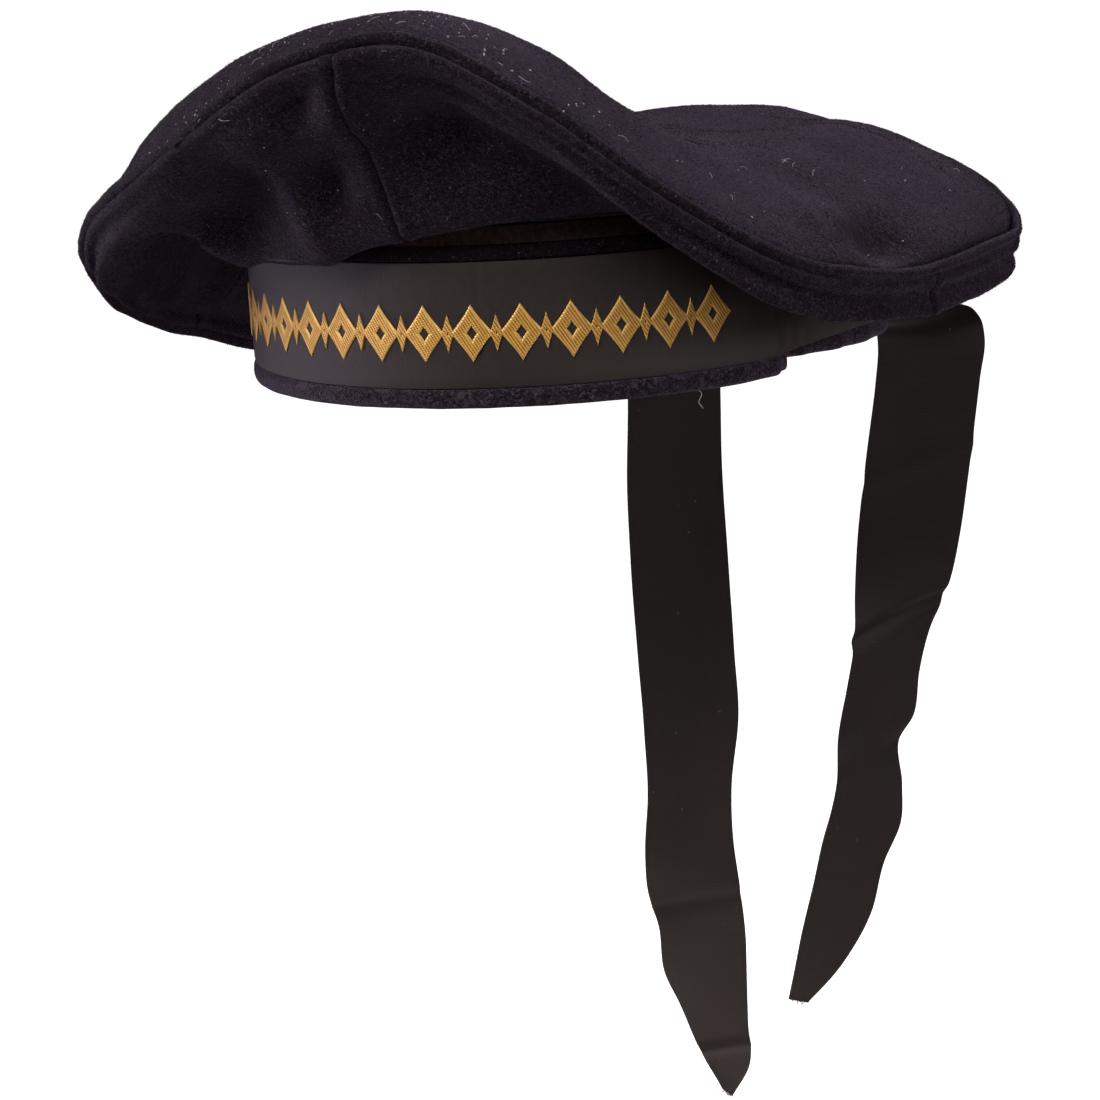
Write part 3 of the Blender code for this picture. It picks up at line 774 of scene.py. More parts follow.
def spline(points: Array, steps: Sequence[int]) -> Array:
    """Return smooth curves through rows of points.

    Args:
        points: the knots, with the knots' axis next to last.
        steps: how many steps each span between two knots has.

    Returns:
        The curves' points, with the same leading axes.
    """
    chords = np.linalg.norm(np.diff(points, axis=-2), axis=-1)[..., None]
    slopes = np.diff(points, axis=-2) / chords
    low, high = chords[..., :-1, :], chords[..., 1:, :]
    inner = (slopes[..., :-1, :] * high + slopes[..., 1:, :] * low) / (low + high)
    tangents = np.concatenate([slopes[..., :1, :], inner, slopes[..., -1:, :]], axis=-2)
    runs = []
    for i, count in enumerate(steps):
        share = (np.arange(count) / count)[:, None]
        here, beyond = slice(i, i + 1), slice(i + 1, i + 2)
        reach = chords[..., here, :]
        start, end = points[..., here, :], points[..., beyond, :]
        first, last = tangents[..., here, :] * reach, tangents[..., beyond, :] * reach
        runs.append(hermite(start, end, first, last, share))
    runs.append(points[..., len(steps) : len(steps) + 1, :])
    return np.concatenate(runs, axis=-2)


def ring(count: int) -> Array:
    """Return evenly spaced turns round a full circle, in radians."""
    return np.arange(count) * math.tau / count


def reach_along(points: Array) -> Array:
    """Return the length of a line up to each of its points."""
    return np.concatenate([[0.0], np.linalg.norm(np.diff(points, axis=0), axis=1).cumsum()])


def ring_faces(rows: int, columns: int, closed: bool) -> list[tuple[int, ...]]:
    """Return the faces between rings of points.

    Args:
        rows: how many rings.
        columns: how many points each has.
        closed: whether the last ring joins the first.

    Returns:
        The faces, which count from the first point.
    """
    faces = []
    for i in range(rows if closed else rows - 1):
        low, high = i * columns, (i + 1) % rows * columns
        for k in range(columns):
            beyond = (k + 1) % columns
            faces.append((low + k, high + k, high + beyond, low + beyond))
    return faces


class Lumps(NamedTuple):
    """Soft lumps in a surface: how high and how large they are, and which pattern they take."""

    lift: float
    size: float
    seed: float

    def at(self, points: Array) -> Array:
        """Return how far each point is raised.

        Args:
            points: the points.

        Returns:
            A distance for each, in metres.
        """
        flat = points.reshape(-1, 3) / self.size + self.seed
        values = [noise.noise(Vector(place)) for place in flat]
        return self.lift * np.array(values).reshape(points.shape[:-1])


def face_normals(grid: Array, closed: bool) -> Array:
    """Return the direction that each point of a grid faces.

    Args:
        grid: points by row and by column.
        closed: whether the last row joins the first.

    Returns:
        A direction of length 1 for each point.
    """
    if closed:
        rows = np.roll(grid, -1, axis=0) - np.roll(grid, 1, axis=0)
    else:
        rows = np.gradient(grid, axis=0)
    return unit(np.cross(rows, np.gradient(grid, axis=1)))


class Solid:
    """The points and faces of one piece, gathered before its mesh is made."""

    def __init__(self) -> None:
        """Start with nothing."""
        self.vertices: list[Array] = []
        self.faces: list[tuple[int, ...]] = []
        self.slots: list[int] = []
        self.marks: dict[str, list[Array]] = {}
        self.count = 0

    def add(self, points: Array) -> int:
        """Add points, and return the index of the first of them.

        Args:
            points: the points.

        Returns:
            The index of the first.
        """
        start = self.count
        self.vertices.append(points.reshape(-1, 3))
        self.count += len(self.vertices[-1])
        return start

    def join(self, start: int, faces: Iterable[tuple[int, ...]], slot: int = 0) -> None:
        """Add faces.

        Args:
            start: the point that they count from.
            faces: the faces.
            slot: their material slot.
        """
        shifted = [tuple(index + start for index in face) for face in faces]
        self.faces += shifted
        self.slots += [slot] * len(shifted)

    def mark(self, name: str, values: Array, faces: int = 1) -> None:
        """Add the next points' values of an attribute.

        Args:
            name: the attribute's name.
            values: its values, in the order of the points.
            faces: how many faces of the cloth have the same values.
        """
        self.marks.setdefault(name, []).extend([values] * faces)

    def weave(self, along: Array, across: Array, faces: int = 1) -> None:
        """Add the next points' places in the weave.

        Args:
            along: their places along the cloth.
            across: their places across it.
            faces: how many faces of the cloth have the same places.
        """
        marks = np.stack([along, across, np.zeros_like(along)], axis=-1)
        self.mark("weave", marks.reshape(-1, 3), faces)

    def wall(self, outer: Array, inner: Array, closed: bool, inner_slot: int = 0) -> None:
        """Add a wall between two grids of points.

        Args:
            outer: the outer face's points, by row and by column.
            inner: the inner face's points.
            closed: whether the last row joins the first.
            inner_slot: the material slot of the inner face.
        """
        rows, columns = outer.shape[:2]
        back = rows * columns

        def at(row: int, column: int, side: int) -> int:
            """Return the index of a point on either face."""
            return (row % rows) * columns + column + side * back

        front, behind, edges = [], [], []
        for i in range(rows if closed else rows - 1):
            for k in range(columns - 1):
                j, m = i + 1, k + 1
                front.append((at(i, k, 0), at(j, k, 0), at(j, m, 0), at(i, m, 0)))
                behind.append((at(i, k, 1), at(i, m, 1), at(j, m, 1), at(j, k, 1)))
            last = columns - 1
            edges.append((at(i, 0, 0), at(i, 0, 1), at(i + 1, 0, 1), at(i + 1, 0, 0)))
            edges.append((at(i, last, 0), at(i + 1, last, 0), at(i + 1, last, 1), at(i, last, 1)))
        if not closed:
            last = rows - 1
            for k in range(columns - 1):
                edges.append((at(0, k, 0), at(0, k + 1, 0), at(0, k + 1, 1), at(0, k, 1)))
                edges.append((at(last, k, 0), at(last, k, 1), at(last, k + 1, 1), at(last, k + 1, 0)))
        start = self.add(np.concatenate([outer.reshape(-1, 3), inner.reshape(-1, 3)]))
        self.join(start, front + edges)
        self.join(start, behind, inner_slot)

    def tube(self, path: Array, radii: Array, sides: int) -> None:
        """Add a closed tube along a path.

        Args:
            path: the middle's points.
            radii: the radius at each.
            sides: how many sides it has.
        """
        ahead = unit(np.gradient(path, axis=0))
        side = unit(np.cross(ahead[0], (0.31, 0.52, 0.79)))
        turns = ring(sides)
        rings = []
        for point, way, radius in zip(path, ahead, radii):
            side = unit(side - way * np.dot(side, way))
            over = np.cross(way, side)
            rings.append(point + radius * (np.outer(np.cos(turns), side) + np.outer(np.sin(turns), over)))
        last = (len(path) - 1) * sides
        ends = [tuple(range(sides)), tuple(last + k for k in reversed(range(sides)))]
        self.join(self.add(np.concatenate(rings)), ring_faces(len(path), sides, False) + ends)

    def piece(
        self,
        name: str,
        materials: Sequence[bpy.types.Material],
        slot: str,
        replaces: Sequence[str] = (),
        sharp: float = 50.0,
    ) -> bpy.types.Object:
        """Make the piece, let it ride, and hide the parts of the frame that it stands for.

        Args:
            name: the piece's name.
            materials: its finishes, by slot.
            slot: the record's material slot; not used.
            replaces: the nodes of the frame that it stands for.
            sharp: the angle in degrees above which an edge stays sharp.

        Returns:
            The piece's object.
        """
        mesh = bpy.data.meshes.new(name)
        vertices = np.concatenate(self.vertices)
        mesh.from_pydata(vertices.tolist(), [], self.faces)
        for mark, parts in self.marks.items():
            values = np.concatenate(parts)
            kind = "FLOAT_VECTOR" if values.ndim == 2 else "FLOAT"
            layer = mesh.attributes.new(mark, kind, "POINT")
            layer.data.foreach_set("vector" if values.ndim == 2 else "value", values.ravel())
        mesh.polygons.foreach_set("material_index", self.slots)
        mesh.shade_smooth()
        mesh.set_sharp_from_angle(angle=math.radians(sharp))
        for material in materials:
            mesh.materials.append(material)
        item = bpy.data.objects.new(name, mesh)
        bpy.context.scene.collection.objects.link(item)
        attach(item, "root")
        if replaces:
            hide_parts(*replaces)
        LOG.info("%s: %d faces", name, len(self.faces))
        return item


@dataclass(frozen=True)
class BandShape:
    """The band's plan, which everything round the head follows."""

    half_width: float = 0.0840
    half_length: float = 0.0953
    wall: float = 0.0025
    top: float = 0.0452
    foot: float = 0.0042
    bridge_depth: float = 0.0064
    fold_depth: float = 0.0125

    def dents(self, angles: Array) -> tuple[Array, Array]:
        """Return the shares of the bridge and of the fold at some angles.

        Args:
            angles: the angles.

        Returns:
            The bridge's share and the fold's share at each.
        """
        rows = np.array(BAND_DENT, float)
        turned = turn_from(angles, 0.0)
        index = np.clip(np.searchsorted(rows[:, 0], turned, side="right") - 1, 0, len(rows) - 2)
        low, high = rows[index], rows[index + 1]
        blend = smoothstep(low[..., 0], high[..., 0], turned)
        mixed = low + (high - low) * blend[..., None]
        return mixed[..., 1], mixed[..., 2]

    def ellipse(self, angles: Array, out: Array, heights: Array) -> Array:
        """Return points of the band's ellipse.

        Args:
            angles: the angles.
            out: how far each point is moved out.
            heights: their heights.

        Returns:
            The points.
        """
        turn = np.radians(angles)
        x = (self.half_width + out) * np.cos(turn)
        y = (self.half_length + out) * np.sin(turn)
        return np.stack(np.broadcast_arrays(x, y, heights), axis=-1)

    def face(self, angles: Array, heights: Array, out: Array, level: float | None = None) -> Array:
        """Return points of the band's outer face, whose fold is deepest at its foot.

        Args:
            angles: the angles.
            heights: their heights.
            out: how far out of the face each point is.
            level: the height whose plan they follow, if it isn't their own.

        Returns:
            The points.
        """
        bridge, fold = self.dents(angles)
        height_share = np.clip(1.0 - (heights if level is None else level) / self.top, 0.0, None) ** 2
        start = out - self.bridge_depth * bridge - self.fold_depth * fold * height_share
        return self.ellipse(angles, start, heights)

    def ribbon(self, angles: Array, heights: Array, out: Array) -> Array:
        """Return points of the ribbon's inner face, which bridges the band's fold.

        Args:
            angles: the angles.
            heights: their heights.
            out: how far out of the face each point is.

        Returns:
            The points.
        """
        bridge, _ = self.dents(angles)
        return self.ellipse(angles, GAP + out - self.bridge_depth * bridge, heights)


@dataclass
class Crown:
    """The round plate and the four panels under it, as one warped skin cut at rim and seams.

    The skin's own fields are worked out by skin(): its angles, its two faces, the way that each point
    faces, its place from mouth to middle, and its distance in from the rim.
    """

    materials: Materials
    shape: BandShape = BandShape()
    plate_half_width: float = 0.1285
    plate_half_length: float = 0.1360
    plate_shift: float = -0.0040
    rise: float = 0.1000
    centre_height: float = 0.0600
    cloth: float = 0.0020
    edge_back: float = 0.0031
    edge_side: float = 0.00425
    mouth_rise: float = 0.0006
    lip_out: float = 0.0028
    lip_rise: float = 0.0010
    shares: tuple[float, ...] = (0.90, 0.70, 0.47, 0.23)
    fold_push: float = 0.0100
    deepest: float = -0.0017
    welt_lift: float = 0.0012
    welt_edges: tuple[float, ...] = (0.0002, 0.0014, 0.0030, 0.0044)
    lumps: tuple[Lumps, ...] = (Lumps(0.0009, 0.028, 3.1), Lumps(0.00028, 0.009, 7.7))
    lumps_start: tuple[float, float] = (0.02, 0.15)
    lean_spread: float = 11.0
    stitch_distance: float = 0.0039
    stitch_pitch: float = 0.0034
    stitch_length: float = 0.0025
    stitch_radius: float = 0.00017
    stitch_rise: float = 0.00012
    stitch_sink: float = 0.00045
    seam_offsets: tuple[float, ...] = (0.0, 0.2, 0.45, 0.75, 1.1, 1.55, 2.1, 2.8)
    angle_step: float = 1.0
    steps: tuple[int, ...] = (3, 3, 10, 14, 14, 9, 14, 13, 14, 12, 10, 9)
    rim: int = 0
    angles: Array = field(init=False)
    outer: Array = field(init=False)
    inner: Array = field(init=False)
    places: Array = field(init=False)
    along: Array = field(init=False)
    normals: Array = field(init=False)

    def panel_angles(self, panel: Panel) -> Array:
        """Return a panel's angles, close together near its two seams.

        Args:
            panel: the panel.

        Returns:
            The angles.
        """
        near = np.array(self.seam_offsets)
        start, end = panel.start + near[-1], panel.end - near[-1]
        count = round((end - start) / self.angle_step)
        middle = np.linspace(start, end, count + 1)[1:-1]
        return np.concatenate([panel.start + near, middle, panel.end - near[::-1]])

    def rows(self, angles: Array) -> Array:
        """Return the section table at some angles, smooth round the ring, without the angle.

        Args:
            angles: the angles.

        Returns:
            A row of the table's other numbers for each.
        """
        table = np.array(SECTIONS, float)
        stops = table[:, 0]
        turned = angles % 360.0
        index = np.searchsorted(stops, turned, side="right") - 1

        def knot(offset: int) -> tuple[Array, Array]:
            """Return the angle and the values of the row that many rows on."""
            turns, row = np.divmod(index + offset, len(table))
            return (stops[row] + 360.0 * turns)[:, None], table[row, 1:]

        (a0, r0), (a1, r1), (a2, r2), (a3, r3) = (knot(offset) for offset in (-1, 0, 1, 2))
        step = a2 - a1
        before, here, after = (r1 - r0) / (a1 - a0), (r2 - r1) / step, (r3 - r2) / (a3 - a2)
        slope1 = (before * step + here * (a1 - a0)) / (a2 - a0)
        slope2 = (here * (a3 - a2) + after * step) / (a3 - a1)
        return hermite(r1, r2, slope1 * step, slope2 * step, (turned[:, None] - a1) / step)

    def knots(self, angles: Array) -> Array:
        """Return each section's knots, from the band's mouth to the plate's inside.

        Args:
            angles: the sections' angles.

        Returns:
            The knots, by angle and by place.
        """
        row = self.rows(angles).T
        turn = np.radians(angles)
        base = self.shape.face(angles, np.full_like(angles, self.shape.top), 0.0)[:, :2]
        edge_x = self.plate_shift + self.plate_half_width * np.cos(turn)
        edge = np.stack([edge_x, self.plate_half_length * np.sin(turn)], axis=-1)
        outward = unit(edge - base)
        middle = np.array((self.plate_shift, 0.0))
        tip = np.radians(row[8])[:, None]
        back = np.concatenate([outward * np.cos(tip), np.sin(tip)], axis=1)
        side = np.concatenate([-outward * np.sin(tip), np.cos(tip)], axis=1)

        def under(reach: Array, height: Array, out: float = 0.0) -> Array:
            """Return the points at shares of the way from the band to the plate's edge."""
            plan = base + np.broadcast_to(reach, len(base))[:, None] * (edge - base) + outward * out
            return np.column_stack([plan, np.broadcast_to(height, len(base))])

        rim = under(row[6], row[7] * self.rise)

        def over(share: float, height: Array) -> Array:
            """Return the plate's points at a share of its radius."""
            return np.column_stack([middle + share * (rim[:, :2] - middle), height * self.rise])

        mouth = self.shape.top + self.mouth_rise
        knots = [
            under(0.0, mouth),
            under(0.0, mouth + self.lip_rise, self.lip_out),
            under(row[0], row[1] * self.rise),
            under(row[2], row[3] * self.rise),
            under(row[4], row[5] * self.rise),
            rim - self.edge_back * back - self.edge_side * side,
            rim,
            rim - self.edge_back * back + self.edge_side * side,
            *(over(share, height) for share, height in zip(self.shares, row[9:])),
        ]
        return np.stack(knots, axis=1)

    def curves(self, angles: Array) -> Array:
        """Return each section's smooth curve, from the mouth to the plate's centre.

        Args:
            angles: the sections' angles.

        Returns:
            The curves' points, by angle and by place.
        """
        here = self.knots(angles)
        across = self.knots(angles + 180.0)[:, -1:]
        centre = np.broadcast_to((self.plate_shift, 0.0, self.centre_height), across.shape)
        return spline(np.concatenate([here, centre, across], axis=1), self.steps)

    def lean_seam(self, points: Array) -> Array:
        """Return the skin's points with the front seam leaning as the panels were sewn.

        Args:
            points: the skin's points, by angle and by place.

        Returns:
            The points after the lean.
        """
        near = bell(turn_from(self.angles, PANELS[0].start), 0.0, self.lean_spread)
        thrice = np.concatenate([self.angles - 360.0, self.angles, self.angles + 360.0])
        leant = points.copy()
        for column in range(self.rim + 1):
            place = float(self.places[:, column].mean())
            lean = np.interp(place, [row.place for row in SEAM_LEAN], [row.lean for row in SEAM_LEAN])
            wanted = self.angles + lean * near
            for axis in range(3):
                line = np.tile(points[:, column, axis], 3)
                leant[:, column, axis] = np.interp(wanted, thrice, line)
        return leant

    def relief(self, points: Array) -> Array:
        """Return how far the sewn edges raise the outer face.

        Args:
            points: the skin's points, by angle and by place.

        Returns:
            A distance for each point, in metres.
        """
        low, high, start, end = self.welt_edges
        welt = smoothstep(low, high, self.along) * (1 - smoothstep(start, end, self.along))
        lift = self.welt_lift * welt + sum(ridge.at(self.along) for ridge in RIM_RIDGES)
        radius = np.hypot(points[..., 0], points[..., 1])
        for panel in PANELS:
            far = np.abs(np.radians(turn_from(self.angles[:, None], panel.start))) * radius
            lift += np.where(self.along < 0.0, sum(ridge.at(far) for ridge in SEAM_RIDGES), 0.0)
        return np.maximum(lift, self.deepest)

    def softness(self, points: Array) -> Array:
        """Return how far soft lumps and shallow dents move both faces of the cloth.

        Args:
            points: the skin's points, by angle and by place.

        Returns:
            A distance for each point, in metres.
        """
        lift = sum(part.at(points) for part in self.lumps)
        for dent in DENTS:
            turn = turn_from(self.angles[:, None], dent.angle) / dent.angle_spread
            near = (self.along - dent.distance) / dent.distance_spread
            lift += dent.lift * np.exp(-(turn**2) - near**2)
        lift *= smoothstep(*self.lumps_start, self.places)
        lift[:, -1] = lift[:, -1].mean()
        return lift

    def skin(self) -> None:
        """Work out the outer and inner faces of the whole crown, before it is cut up."""
        self.rim = sum(self.steps[:6])
        rows = [self.panel_angles(panel)[:-1] for panel in PANELS]
        self.angles = np.sort(np.concatenate(rows) % 360.0)
        points = self.curves(self.angles)
        lengths = np.stack([reach_along(line) for line in points])
        under = lengths[:, self.rim : self.rim + 1]
        beyond = 1.0 + (lengths - under) / (lengths[:, -1:] - under)
        self.places = np.where(lengths <= under, lengths / under, beyond)
        self.along = lengths - under
        points = self.lean_seam(points)
        push = np.zeros_like(lengths)
        for fold in FOLDS:
            turn = turn_from(self.angles[:, None], fold.angle) / fold.angle_spread
            near = (self.places - fold.place) / fold.place_spread
            push += fold.push * np.exp(-(turn**2) - near**2)
        normals = face_normals(points, True)
        normals[:, -1] = (0.0, 0.0, 1.0)
        points = points + normals * (push * self.fold_push + self.softness(points))[..., None]
        self.normals = face_normals(points, True)
        self.normals[:, -1] = (0.0, 0.0, 1.0)
        lift = self.relief(points)
        lift[:, -1] = lift[:, -1].mean()
        self.outer = points + self.normals * lift[..., None]
        self.inner = points - self.normals * self.cloth

    def build(self) -> None:
        """Make the plate, the four panels and the row of stitches beside the rim."""
        self.skin()
        self.build_plate()
        for panel in PANELS:
            self.build_panel(panel)
        self.build_stitches()

    def build_plate(self) -> None:
        """Make the plate, whose middle is one point on each face."""
        outer, inner = self.outer[:, self.rim :].copy(), self.inner[:, self.rim :].copy()
        for grid in (outer, inner):
            grid[:, 0] += unit(grid[:, 1] - grid[:, 0]) * GAP / 2
        solid = Solid()
        rows, columns = outer.shape[0], outer.shape[1] - 1
        middle = (outer[0, -1], inner[0, -1])
        points = np.concatenate([outer[:, :-1].reshape(-1, 3), inner[:, :-1].reshape(-1, 3), middle])
        back = rows * columns
        top, under = 2 * back, 2 * back + 1
        front, behind, edges = [], [], []
        for i in range(rows):
            low, high = i * columns, ((i + 1) % rows) * columns
            for k in range(columns - 1):
                front.append((low + k, high + k, high + k + 1, low + k + 1))
                behind.append(tuple(back + n for n in (low + k, low + k + 1, high + k + 1, high + k)))
            edges.append((low, low + back, high + back, high))
            front.append((low + columns - 1, high + columns - 1, top))
            behind.append((low + columns - 1 + back, under, high + columns - 1 + back))
        solid.add(points)
        solid.join(0, front + edges)
        solid.join(0, behind, 1)
        looks = (self.materials[Look.WOOL], self.materials[Look.LINING])
        solid.piece("plate_cloth", looks, "navy_wool", ["crown_top"])

    def build_panel(self, panel: Panel) -> None:
        """Make one panel of the underside, with half a gap at each of its edges.

        Args:
            panel: the panel.
        """
        count = len(self.panel_angles(panel))
        first = int(np.argmin(np.abs(self.angles - panel.start % 360.0)))
        index = (first + np.arange(count)) % len(self.angles)
        grids = []
        for skin in (self.outer, self.inner):
            grid = skin[index, : self.rim + 1].copy()
            grid[0] += unit(grid[1] - grid[0]) * GAP / 2
            grid[-1] += unit(grid[-2] - grid[-1]) * GAP / 2
            grid[:, -1] += unit(grid[:, -2] - grid[:, -1]) * GAP / 2
            grids.append(grid)
        solid = Solid()
        solid.wall(grids[0], grids[1], False, 1)
        looks = (self.materials[Look.WOOL], self.materials[Look.LINING])
        solid.piece(panel.name, looks, "navy_wool", [panel.node])

    def beside_rim(self, distance: float) -> tuple[Array, Array]:
        """Return a ring of places beside the rim.

        Args:
            distance: how far in from the rim they are.

        Returns:
            The outer face's points all round, the first again at the end, and the way each faces.
        """
        points, ways = [], []
        for line, skin, normal in zip(self.along, self.outer, self.normals):
            points.append(between(distance, line, skin))
            ways.append(between(distance, line, normal))
        points, ways = np.array(points), unit(np.array(ways))
        return np.vstack([points, points[:1]]), np.vstack([ways, ways[:1]])

    def build_stitches(self) -> None:
        """Make the stitches that hold the turned edge down beside the rim."""
        points, ways = self.beside_rim(self.stitch_distance)
        far = reach_along(points)
        count = int(far[-1] / self.stitch_pitch)
        solid = Solid()
        share = np.linspace(-0.5, 0.5, 5)
        rise = (self.stitch_rise - self.stitch_sink * (2 * share) ** 4)[:, None]
        for number in range(count):
            at = far[-1] * (number + 0.5) / count + share * self.stitch_length
            line = between(at, far, points) + between(at, far, ways) * rise
            solid.tube(line, np.full(5, self.stitch_radius), 5)
        solid.piece("rim_stitches", [self.materials[Look.THREAD]], "navy_wool")

    def spot(self, angle: float, place: float) -> tuple[Array, Array]:
        """Return the outer face's nearest point to a place.

        Args:
            angle: its angle.
            place: its place along the cloth.

        Returns:
            The point and the way that it faces.
        """
        row = int(np.argmin(np.abs(turn_from(self.angles, angle))))
        column = int(np.argmin(np.abs(self.places[row] - place)))
        return self.outer[row, column], self.normals[row, column]


@dataclass
class Nap:
    """Loose wool fibres that stand off the crown's outer face and soften its outline."""

    materials: Materials
    crown: Crown
    count: int = 9000
    stubble: int = 150000
    seed: int = 11
    shortest: float = 0.0010
    longest: float = 0.0026
    half_width: float = 0.000032
    lift: float = 0.00045
    bend: float = 0.35
    root: float = 0.00005
    blade_heights: tuple[float, float] = (0.00018, 0.00045)
    blade_leans: tuple[float, float] = (0.00010, 0.00050)
    blade_half_widths: tuple[float, float] = (0.00006, 0.00013)

    def scatter(
        self, rng: np.random.Generator, grid: Array, normals: Array, count: int
    ) -> tuple[Array, Array, Array, Array]:
        """Return random places on a part of the skin, with three directions at each.

        Args:
            rng: the random numbers.
            grid: the part's points, by angle and by place.
            normals: the way that they face.
            count: how many places.

        Returns:
            The places, the way each faces, a random way along the cloth and the way across that.
        """
        rows, columns = grid.shape[:2]
        right = np.roll(grid, -1, axis=0)
        area = np.linalg.norm(np.cross(right[:, :-1] - grid[:, :-1], grid[:, 1:] - grid[:, :-1]), axis=2)
        cells = rng.choice(rows * (columns - 1), count, p=(area / area.sum()).ravel())
        row, column = np.divmod(cells, columns - 1)
        u, v = rng.random((2, count, 1))
        start = grid[row, column]
        start = start + u * (right[row, column] - start) + v * (grid[row, column + 1] - start)
        up = normals[row, column]
        way = rng.normal(size=(count, 3))
        way = unit(way - up * (way * up).sum(axis=1)[:, None])
        return start, up, way, np.cross(up, way)

    def build(self) -> None:
        """Make the long fibres, then the short ones of the plate and of the panels."""
        rng = np.random.default_rng(self.seed)
        self.build_long(rng)
        rim = self.crown.rim
        self.build_short(rng, "wool_nap_top", slice(rim, None))
        self.build_short(rng, "wool_nap_side", slice(0, rim + 1))

    def build_long(self, rng: np.random.Generator) -> None:
        """Make the long fibres as one piece of thin tapering strips.

        Args:
            rng: the random numbers.
        """
        start, up, way, side = self.scatter(rng, self.crown.outer, self.crown.normals, self.count)
        length = rng.uniform(self.shortest, self.longest, (self.count, 1))
        bend = rng.normal(0.0, self.bend, (self.count, 1))
        rise = self.lift * rng.uniform(0.3, 1.0, (self.count, 1))
        width = self.half_width * rng.uniform(0.7, 1.3, (self.count, 1))
        points = []
        for share in (0.0, 0.34, 0.67, 1.0):
            middle = start + way * length * share + side * length * bend * share**2
            middle = middle + up * (rise * (0.15 + 1.2 * share - 0.35 * share**2) - self.root)
            reach = side * width * (1.0 - 0.75 * share)
            points += [middle - reach, middle + reach]
        points = np.stack(points, axis=1).reshape(-1, 3)
        solid = Solid()
        base = np.arange(self.count)[:, None] * 8
        steps = np.array(((0, 1, 3, 2), (2, 3, 5, 4), (4, 5, 7, 6)))
        faces = (base[:, None] + steps[None]).reshape(-1, 4)
        solid.join(solid.add(points), faces.tolist())
        solid.piece("wool_fibres", [self.materials[Look.FIBRE]], "navy_wool")

    def build_short(self, rng: np.random.Generator, name: str, part: slice) -> None:
        """Make one part's nap of short leaning blades, each one triangle.

        Args:
            rng: the random numbers.
            name: the piece's name.
            part: the places along the cloth that it covers.
        """
        grid, normals = self.crown.outer[:, part], self.crown.normals[:, part]
        start, up, way, side = self.scatter(rng, grid, normals, self.stubble)
        ranges = (self.blade_heights, self.blade_leans, self.blade_half_widths)
        height, lean, width = (rng.uniform(*limits, (self.stubble, 1)) for limits in ranges)
        foot = start - up * self.root
        tip = start + up * height + way * lean
        points = np.stack([foot - side * width, foot + side * width, tip], axis=1)
        faces = np.arange(3 * self.stubble).reshape(-1, 3)
        solid = Solid()
        solid.join(solid.add(points), faces.tolist())
        solid.piece(name, [self.materials[Look.FIBRE]], "navy_wool")


class Cluster(NamedTuple):
    """A patch of lint on the crown: its place, its spreads and how much lies there."""

    angle: float
    place: float
    angle_spread: float
    place_spread: float
    specks: int
    threads: int


LINT = (
    #       angle place spreads    specks threads
    Cluster(266, 1.12, 14.0, 0.08, 80, 10),
    Cluster(290, 1.10, 12.0, 0.06, 60, 8),
    Cluster(248, 1.05, 10.0, 0.03, 34, 4),
    Cluster(270, 0.60, 20.0, 0.22, 12, 1),
    Cluster(330, 1.20, 30.0, 0.16, 10, 5),
    Cluster(15, 1.25, 30.0, 0.15, 4, 2),
    Cluster(120, 1.30, 60.0, 0.25, 12, 6),
    Cluster(348.1, 1.24, 0.1, 0.001, 2, 0),
    Cluster(321.1, 1.09, 0.1, 0.001, 2, 0),
    Cluster(340.2, 1.35, 1.5, 0.010, 0, 4),
)


@dataclass
class Lint:
    """Pale specks and short threads of lint that lie on the wool."""

    materials: Materials
    crown: Crown
    seed: int = 5
    smallest: float = 0.00010
    largest: float = 0.00025
    spread: float = 0.6
    rise: float = 0.0001
    thread_lengths: tuple[float, float] = (0.0012, 0.0034)
    thread_radius: float = 0.00006
    thread_arch: float = 0.0006

    def build(self) -> None:
        """Make all the lint as one piece."""
        rng = np.random.default_rng(self.seed)
        solid = Solid()
        for cluster in LINT:
            for number in range(cluster.specks + cluster.threads):
                angle = cluster.angle + rng.normal(0.0, cluster.angle_spread * self.spread)
                place = cluster.place + rng.normal(0.0, cluster.place_spread * self.spread)
                start, up = self.crown.spot(angle, place)
                way = rng.normal(size=3)
                way = unit(way - up * np.dot(way, up))
                side = np.cross(up, way)
                if number < cluster.specks:
                    size = rng.uniform(self.smallest, self.largest) * rng.uniform(0.5, 1.0)
                    line = start + up * self.rise + np.outer(np.linspace(-1.0, 1.0, 4) * size * 1.6, way)
                    solid.tube(line, size * np.array((0.4, 1.0, 0.9, 0.35)), 5)
                else:
                    length = rng.uniform(*self.thread_lengths)
                    share = np.linspace(0.0, 1.0, 7)[:, None]
                    curl = rng.normal(0.0, 0.5)
                    line = start + way * length * share + side * length * curl * share * (1 - share)
                    arch = self.thread_arch * np.sin(share * math.pi) * rng.random()
                    solid.tube(line + up * (self.rise + arch), np.full(7, self.thread_radius), 4)
        solid.piece("pale_lint", [self.materials[Look.LINT]], "navy_wool")


